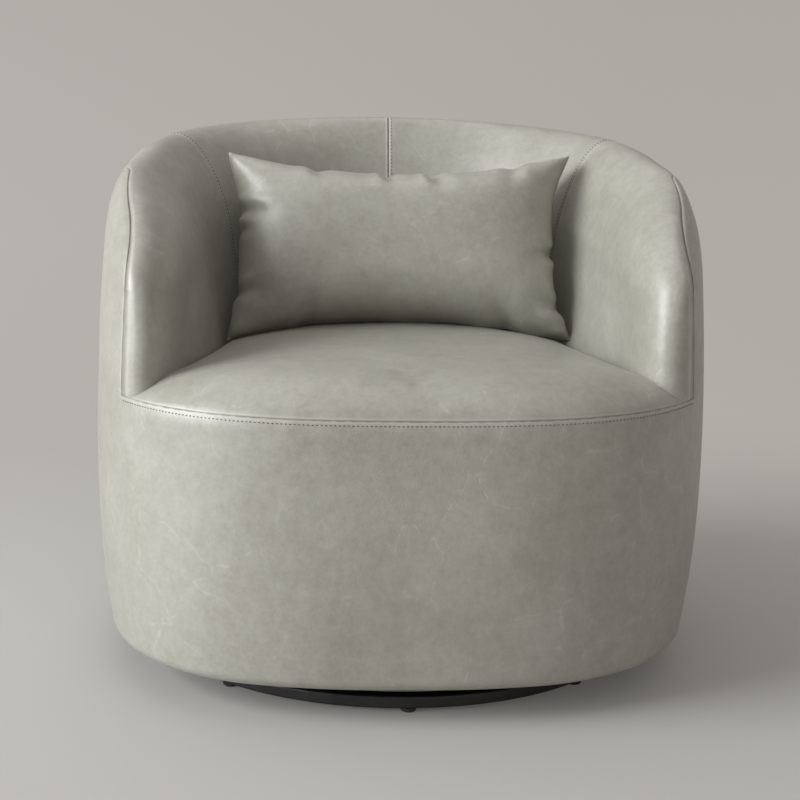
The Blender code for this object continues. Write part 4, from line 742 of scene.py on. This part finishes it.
for start, way, length, width, depth in folds:
    way = np.array(way) / np.hypot(*way)
    inward = (flat_place - start) @ way
    aside = (flat_place - start) @ np.array([-way[1], way[0]]) - 0.10 * np.maximum(inward, 0)
    spread = width * (0.75 + 0.5 * np.clip(inward / length, 0, 1))
    fades = bell(np.maximum(inward, 0), length) * (1 - bell(from_rim, 0.006))
    ridge = bell(np.abs(aside), spread, 1.9 * spread)
    dent += 0.8 * depth * fades * (bell(aside, spread) - 0.34 * ridge)
    pinch += way * (0.45 * depth * bell(aside, width) * bell(from_rim, 0.010))[:, None]
pillow_points[:, [0, 2]] += pinch
case_normals = point_normals(pillow_points, pillow_faces)
soft = 0.0016 * ripple(pillow_points, 11.0) * (1 - np.exp(-from_rim / 0.02))
wave = 0.0022 * ripple(pillow_points + (0.7, 0.2, 0.1), 21.0) * bell(from_rim, 0.012)
pillow_points += case_normals * (soft - np.where(front_side, 1.0, 0.5) * dent)[:, None]
pillow_points[:, 1] += wave
seam_roll = 0.0011 * (bell(from_rim, 0.0030) - 0.9 * bell(from_rim, 0.0022, RIM_GROOVE))
pillow_points += case_normals * seam_roll[:, None]
pillow_low, pillow_high = np.array(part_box("pillow_cover"))
pillow_points = pillow_points @ lean_back.T
pillow_middle = (pillow_points.min(axis=0) + pillow_points.max(axis=0)) / 2
pillow_points += (pillow_low + pillow_high) / 2 - pillow_middle
pillow_points += (0.0070, -0.0005, -0.0033)
pillow = mesh_object("pillow", pillow_points, pillow_faces, sage_leather)
# painted shade in the groove along the sewn rim, and painted highlight on the roll beside it
paint(pillow, "seam", 0.55 * bell(from_rim, 0.0018, RIM_GROOVE))
paint(pillow, "seam_painted_highlight", 1.3 * bell(from_rim, 0.0022))
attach(pillow, "pillow")
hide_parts("pillow_cover", "pillow_fill")


# Stitching. Waxed thread, a good deal darker than the hide: a row of topstitches below the seat seam,
# beside the two inner seams and the centre back seam, and along both sides of the outer side seams.

thread, tree, shader = new_material("waxed_thread")
ply = clouded(tree, place_of(tree), 900.0, Detail=2.0)
thread_tone = colour_mix(tree, ply, (0.055, 0.052, 0.042, 1), (0.120, 0.115, 0.094, 1))
fill(tree, shader, Base_Color=thread_tone, Roughness=0.62, Normal=relief(tree, ply, 0.6, 0.0003))


def skin_of(thing):
    """A piece's surface, to lay things on."""
    corners = [vertex.co.copy() for vertex in thing.data.vertices]
    return BVHTree.FromPolygons(corners, [list(face.vertices) for face in thing.data.polygons])


def turn_out(thing):
    """Point a closed mesh's faces outwards."""
    cleaner = bmesh.new()
    cleaner.from_mesh(thing.data)
    bmesh.ops.recalc_face_normals(cleaner, faces=cleaner.faces[:])
    cleaner.to_mesh(thing.data)
    cleaner.free()


def stitch_row(name, skin, line, rider, pitch=0.0053, half_length=0.00125, radius=0.00060):
    """Stitches laid along a line on a surface, each a short thread whose ends go down into the leather."""
    count = int(lengths_along(line)[-1] / pitch)
    middles = along_line(line, (np.arange(count) + 0.5) / count)
    ahead = along_line(line, np.minimum(1, (np.arange(count) + 0.8) / count))
    sections = ((-1, -0.0004, 0.35), (-0.55, 0.0003, 1.0), (0.55, 0.0003, 1.0), (1, -0.0004, 0.35))
    points, faces = [], []
    for middle, towards in zip(middles, ahead):
        spot, facing, _, _ = skin.find_nearest(Vector(middle))
        forward = Vector(towards) - Vector(middle)
        forward = (forward - facing * forward.dot(facing)).normalized()
        sideways = facing.cross(forward)
        first = len(points)
        for share, rise, width in sections:
            centre = spot + forward * (half_length * share) + facing * rise
            for k in range(5):
                turn = k / 5 * 2 * math.pi
                outward = sideways * math.cos(turn) + facing * math.sin(turn)
                points.append(centre + outward * (radius * width))
        for ring in range(3):
            for k in range(5):
                a, b = first + ring * 5 + k, first + ring * 5 + (k + 1) % 5
                faces.append((a, a + 5, b + 5, b))
        faces.append([first + k for k in range(5)])
        faces.append([first + 15 + k for k in reversed(range(5))])
    row = mesh_object(name, points, faces, thread)
    turn_out(row)
    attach(row, rider)
    return row


skins = {name: skin_of(thing) for name, thing in body.items()}
turn = np.linspace(-NOSE_AZ + 0.012, NOSE_AZ - 0.012, 300)
stitch_z = SEAM_Z - 0.0056
stitch_row("stitches_front", skins["front_band"], around(turn, barrel(turn, stitch_z), stitch_z), "chair")
for hand, sign in (("left", 1), ("right", -1)):
    line = np.concatenate([outer_line(INNER_AZ)[-120:], inner_line(INNER_AZ, SEAM_Z + 0.012)[1:]])
    radius = np.hypot(line[:, 0], line[:, 1])
    line = around(sign * (INNER_AZ + 0.0034 / radius), radius, line[:, 2])
    stitch_row("stitches_inner_" + hand, skins["inside_back_" + hand], line, "chair")
    z = np.linspace(HEM_Z + HEM_ROUND, cover_seam_z(SIDE_AZ) - 0.008, 300)
    for side, panel in ((-1, "front_band"), (1, "outside_back")):
        turned = SIDE_AZ + side * 0.0044 / 0.4
        radius = np.where(z < SEAM_Z, barrel(turned, z), wall(turned, np.maximum(z, SEAM_Z))[0])
        row_name = f"stitches_side_{hand}_{panel.split('_')[0]}"
        stitch_row(row_name, skins[panel], around(sign * turned, radius, z), "chair")
line = inner_line(math.pi, SEAM_Z + 0.012)
stitch_row("stitches_centre_back", skins["inside_back_left"], line + (0.0042, 0, 0), "chair")


# Steel base. A rolled ring, a welded cross and a hub plate in satin black powder coat, on eight black nylon
# glides; the swivel's two pressed plates are the same black.

wear, given, wear_out = new_group(
    "worn_surface",
    {"Base": (0.02, 0.02, 0.02, 1), "Rubbed": (0.08, 0.08, 0.08, 1), "Grain": 900.0, "Dull": 0.4,
     "Smooth": 0.3},
    {"Colour": "Color", "Roughness": "Float", "Height": "Float"},
)
place = place_of(wear)
blotch = clouded(wear, place, 26.0, Detail=5.0, Roughness=0.6)
colour = colour_mix(wear, ramp(wear, blotch, 0.42, 0.72), given["Base"], given["Rubbed"])
shine = ramp(wear, blotch, at_low=given["Dull"], at_high=given["Smooth"])
specks = clouded(wear, place, given["Grain"], Detail=2.0)
fill(wear, wear_out, Colour=colour, Roughness=shine, Height=specks)


def hard_material(name, base, rubbed, dull, smooth, metallic, grain, strength=0.15, depth=0.0002):
    """A hard finish, a little rubbed in blotches."""
    made, tree, shader = new_material(name)
    face = add_node(tree, "Group", {"node_tree": wear}, Base=(*base, 1), Rubbed=(*rubbed, 1), Dull=dull,
                    Smooth=smooth, Grain=grain).outputs
    fill(tree, shader, Base_Color=face["Colour"], Roughness=face["Roughness"], Metallic=metallic,
         Normal=relief(tree, face["Height"], strength, depth))
    return made


def finish_nodes(material, *names):
    """Give CAD nodes that stay in view their finish."""
    for name in names:
        for place_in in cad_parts[name].material_slots:
            place_in.material = material


def numbered(name, count):
    return [f"{name}_{k}" for k in range(1, count + 1)]


powder_coat = hard_material(
    "black_powder_coat", (0.012, 0.012, 0.013), (0.024, 0.024, 0.024), 0.52, 0.38, 0.0, 1400.0
)
finish_nodes(powder_coat, "base_ring", "base_cross", "hub_plate")
finish_nodes(powder_coat, "swivel_lower_plate", "swivel_upper_plate")
nylon = hard_material("black_nylon", (0.014, 0.014, 0.015), (0.045, 0.044, 0.042), 0.62, 0.48, 0.0, 500.0)
finish_nodes(nylon, *numbered("glide", 8))


# Fixings and bearing. Zinc-plated bolts, springs and rivet with a little dulling, and the brass of the
# ball cage, which the pillow's zip shares.

zinc = hard_material("zinc_plate", (0.56, 0.56, 0.55), (0.36, 0.35, 0.33), 0.30, 0.52, 1.0, 700.0)
finish_nodes(zinc, "swivel_rivet", *numbered("base_bolt", 4), *numbered("board_bolt", 4))
finish_nodes(zinc, *numbered("seat_spring", 4))
brass = hard_material("brass", (0.60, 0.43, 0.17), (0.36, 0.25, 0.10), 0.28, 0.46, 1.0, 800.0)
finish_nodes(brass, "ball_cage", "pillow_zip")


# Timber frame. Beech-faced plywood rings, ribs and board, with the glued layers showing on the cut edges,
# and planed softwood rails.

wood, given, wood_out = new_group(
    "sawn_wood",
    {"Pale": (0.62, 0.46, 0.29, 1), "Dark": (0.40, 0.27, 0.15, 1)},
    {"Colour": "Color", "Height": "Float"},
)
drawn = add_node(wood, "VectorMath", {"operation": "MULTIPLY"},
                 _0=place_of(wood), _1=(0.09, 1.0, 1.0)).outputs[0]
rings = clouded(wood, drawn, 26.0, Detail=4.0, Roughness=0.6, Distortion=0.8)
fibres = clouded(wood, drawn, 420.0, Detail=3.0)
lines = figure(wood, "MULTIPLY", figure(wood, "PINGPONG", rings, 0.09), 7.0)
dark_share = figure(wood, "MULTIPLY_ADD", fibres, 0.45, lines)
fill(wood, wood_out, Colour=colour_mix(wood, dark_share, given["Pale"], given["Dark"]), Height=fibres)


def wood_material(name, pale, dark, layers):
    """Wood with, for plywood, darker glue lines every few millimetres of height on its edges."""
    made, tree, shader = new_material(name)
    grain = add_node(tree, "Group", {"node_tree": wood}, Pale=(*pale, 1), Dark=(*dark, 1)).outputs
    colour = grain["Colour"]
    if layers:
        height = add_node(tree, "SeparateXYZ", Vector=place_of(tree)).outputs["Z"]
        glue = ramp(tree, figure(tree, "PINGPONG", height, 0.0013), 0.0, 0.0003, 0.55, 0.0)
        normal = add_node(tree, "NewGeometry").outputs["Normal"]
        flat = figure(tree, "ABSOLUTE", add_node(tree, "SeparateXYZ", Vector=normal).outputs["Z"])
        shown = figure(tree, "MULTIPLY", glue, ramp(tree, flat, 0.3, 0.6, 1.0, 0.0))
        colour = colour_mix(tree, shown, colour, (0.16, 0.10, 0.06, 1))
    fill(tree, shader, Base_Color=colour, Roughness=0.68, Normal=relief(tree, grain["Height"], 0.3, 0.0004))
    return made


plywood = wood_material("plywood", (0.60, 0.45, 0.28), (0.43, 0.30, 0.17), True)
timber = wood_material("timber", (0.68, 0.52, 0.33), (0.50, 0.35, 0.19), False)
finish_nodes(timber, "bearer_front", "bearer_back", "top_rail")
finish_nodes(plywood, "mounting_board")
for hand in ("left", "right"):
    finish_nodes(plywood, "frame_base_" + hand, "seat_deck_" + hand)
    finish_nodes(plywood, *[f"rib_{name}_{hand}" for name in ("short", "front", "middle", "back")])


# Dust cover. A sheet of thin black non-woven cloth stapled under the frame, with a square hole for the
# swivel; it hangs a little between its staples.

HOLE_HALF, CLOTH_INSET, STAPLE_INSET, STAPLES = 0.095, 0.0276, 0.006, 44

dust_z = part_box("dust_cover")[0][2]
turn = np.linspace(0, 2 * math.pi, 241)
hole_radius = HOLE_HALF / np.maximum(np.abs(np.sin(turn)), np.abs(np.cos(turn)))
edge_radius = barrel(turn, HEM_Z + HEM_ROUND) - HEM_ROUND - CLOTH_INSET
rows = [hole_radius * (1 - share) + edge_radius * share for share in np.linspace(0, 1, 17)]
dust_points, dust_faces = weld(np.stack([around(turn, row, dust_z) for row in rows]))
flat_parts = crossed_sides(dust_points, dust_faces)[:, 2]
if flat_parts.sum() > 0:
    dust_faces = dust_faces[:, ::-1]
dust_turn, dust_radius = turn_and_radius(dust_points)
from_edge = np.interp(dust_turn % (2 * math.pi), turn, edge_radius) - dust_radius
sag = np.sin(np.clip(from_edge / 0.20, 0, 1) * math.pi) ** 2
sag = sag + 0.35 * (1 - np.cos(dust_turn * 26)) * np.exp(-from_edge / 0.02)
dust_points[:, 2] -= 0.0012 * sag

dust_cloth, tree, shader = new_material("black_dust_cloth")
place = place_of(tree)
felt = clouded(tree, place, 260.0, Detail=5.0, Roughness=0.7)
dots = add_node(tree, "TexVoronoi", Vector=place, Scale=330.0).outputs["Distance"]
cloth_height = figure(tree, "ADD", felt, ramp(tree, dots, 0.1, 0.35))
cloth_tone = colour_mix(tree, felt, (0.010, 0.010, 0.010, 1), (0.040, 0.040, 0.040, 1))
fill(tree, shader, Base_Color=cloth_tone, Roughness=0.9, Normal=relief(tree, cloth_height, 0.5, 0.0004))
dust_sheet = mesh_object("dust_sheet", dust_points, dust_faces, dust_cloth)
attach(dust_sheet, "chair")
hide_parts("dust_cover")

# wire staples along its edge, each bridge lying flat on the cloth
staple_points, staple_faces = [], []
for az in (np.arange(STAPLES) + 0.5) / STAPLES * 2 * math.pi:
    outward = np.array([math.sin(az), -math.cos(az), 0])
    sideways = np.array([math.cos(az), math.sin(az), 0])
    centre = outward * (np.interp(az, turn, edge_radius) - STAPLE_INSET) + (0, 0, dust_z - 0.0009)
    first = len(staple_points)
    for x, rise in ((-0.0055, 0.0014), (-0.0050, 0.0), (0.0050, 0.0), (0.0055, 0.0014)):
        spot = centre + sideways * x + np.array([0, 0, rise])
        for y, z in ((-0.0006, -0.0003), (0.0006, -0.0003), (0.0006, 0.0003), (-0.0006, 0.0003)):
            staple_points.append(spot + outward * y + np.array([0, 0, z]))
    for ring in range(3):
        for k in range(4):
            a, b = first + ring * 4 + k, first + ring * 4 + (k + 1) % 4
            staple_faces.append((a, b, b + 4, a + 4))
    staple_faces += [[first + k for k in (3, 2, 1, 0)], [first + 12 + k for k in range(4)]]
staples = mesh_object("staples", staple_points, staple_faces, zinc)
turn_out(staples)
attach(staples, "chair")


# Pillow zip. It is sewn into the lower back edge and closes the case: a woven tape, a row of brass teeth
# and a slider at one end.

TAPE_FOOT, TAPE_TOP, TEETH_HEIGHT = 0.018, 0.028, 0.023

pillow_skin = skin_of(pillow)
low_rim = rim[(flat_place[rim, 1] < -0.09) & (np.abs(flat_place[rim, 0]) < 0.125)]
low_rim = low_rim[np.argsort(flat_place[low_rim, 0])]
edge_line = pillow_points[low_rim]
up_it, behind = lean_back @ np.array([0, 0, 1.0]), lean_back @ np.array([0, 1.0, 0])


def on_back(height):
    """The line on the pillow's back at a height over its lower edge, a hair above the leather."""
    spots = []
    for place_at in along_line(edge_line + height * up_it + 0.020 * behind, np.linspace(0, 1, 121)):
        spot, facing, _, _ = pillow_skin.find_nearest(Vector(place_at))
        spots.append(spot + facing * 0.0007)
    return np.array(spots)


tape_rows = [on_back(height) for height in np.linspace(TAPE_FOOT, TAPE_TOP, 5)]
tape_points, tape_faces = weld(np.stack(tape_rows, axis=1))
if (point_normals(tape_points, tape_faces) @ behind).mean() < 0:
    tape_faces = tape_faces[:, ::-1]
tape_cloth = hard_material(
    "zip_tape", (0.070, 0.068, 0.055), (0.11, 0.105, 0.09), 0.8, 0.7, 0.0, 1800.0, 0.5, 0.0003
)
tape = mesh_object("zip_tape", tape_points, tape_faces, tape_cloth)
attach(tape, "pillow")
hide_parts("pillow_zip")
tape_skin = skin_of(tape)
teeth_line = on_back(TEETH_HEIGHT)
teeth = stitch_row("zip_teeth", tape_skin, teeth_line, "pillow", 0.0024, 0.0010, 0.0013)
teeth.data.materials[0] = brass
end_spot, end_facing, _, _ = tape_skin.find_nearest(Vector(teeth_line[4]))
bpy.ops.object.select_all(action="DESELECT")
bpy.ops.mesh.primitive_cube_add(size=1)
slider = bpy.context.object
slider.name = "zip_slider"
bpy.ops.object.mode_set(mode="EDIT")
bpy.ops.transform.resize(value=(0.011, 0.0026, 0.0075))
bpy.ops.mesh.select_all(action="DESELECT")
bpy.ops.object.mode_set(mode="OBJECT")
for face in slider.data.polygons:
    face.select = face.normal.x > 0.9
bpy.ops.object.mode_set(mode="EDIT")
bpy.ops.mesh.extrude_region_move(TRANSFORM_OT_translate={"value": (0.004, 0, 0)})
bpy.ops.transform.resize(value=(1, 0.45, 0.5))
bpy.ops.mesh.extrude_region_move(TRANSFORM_OT_translate={"value": (0.016, 0, 0)})
bpy.ops.mesh.select_all(action="SELECT")
bpy.ops.mesh.bevel(offset=0.0005, segments=2, affect="EDGES")
bpy.ops.object.mode_set(mode="OBJECT")
slider.data.transform(Matrix.Translation(end_spot + end_facing * 0.0016) @ Matrix(lean_back).to_4x4())
slider.data.shade_smooth()
slider.data.materials.append(brass)
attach(slider, "pillow")
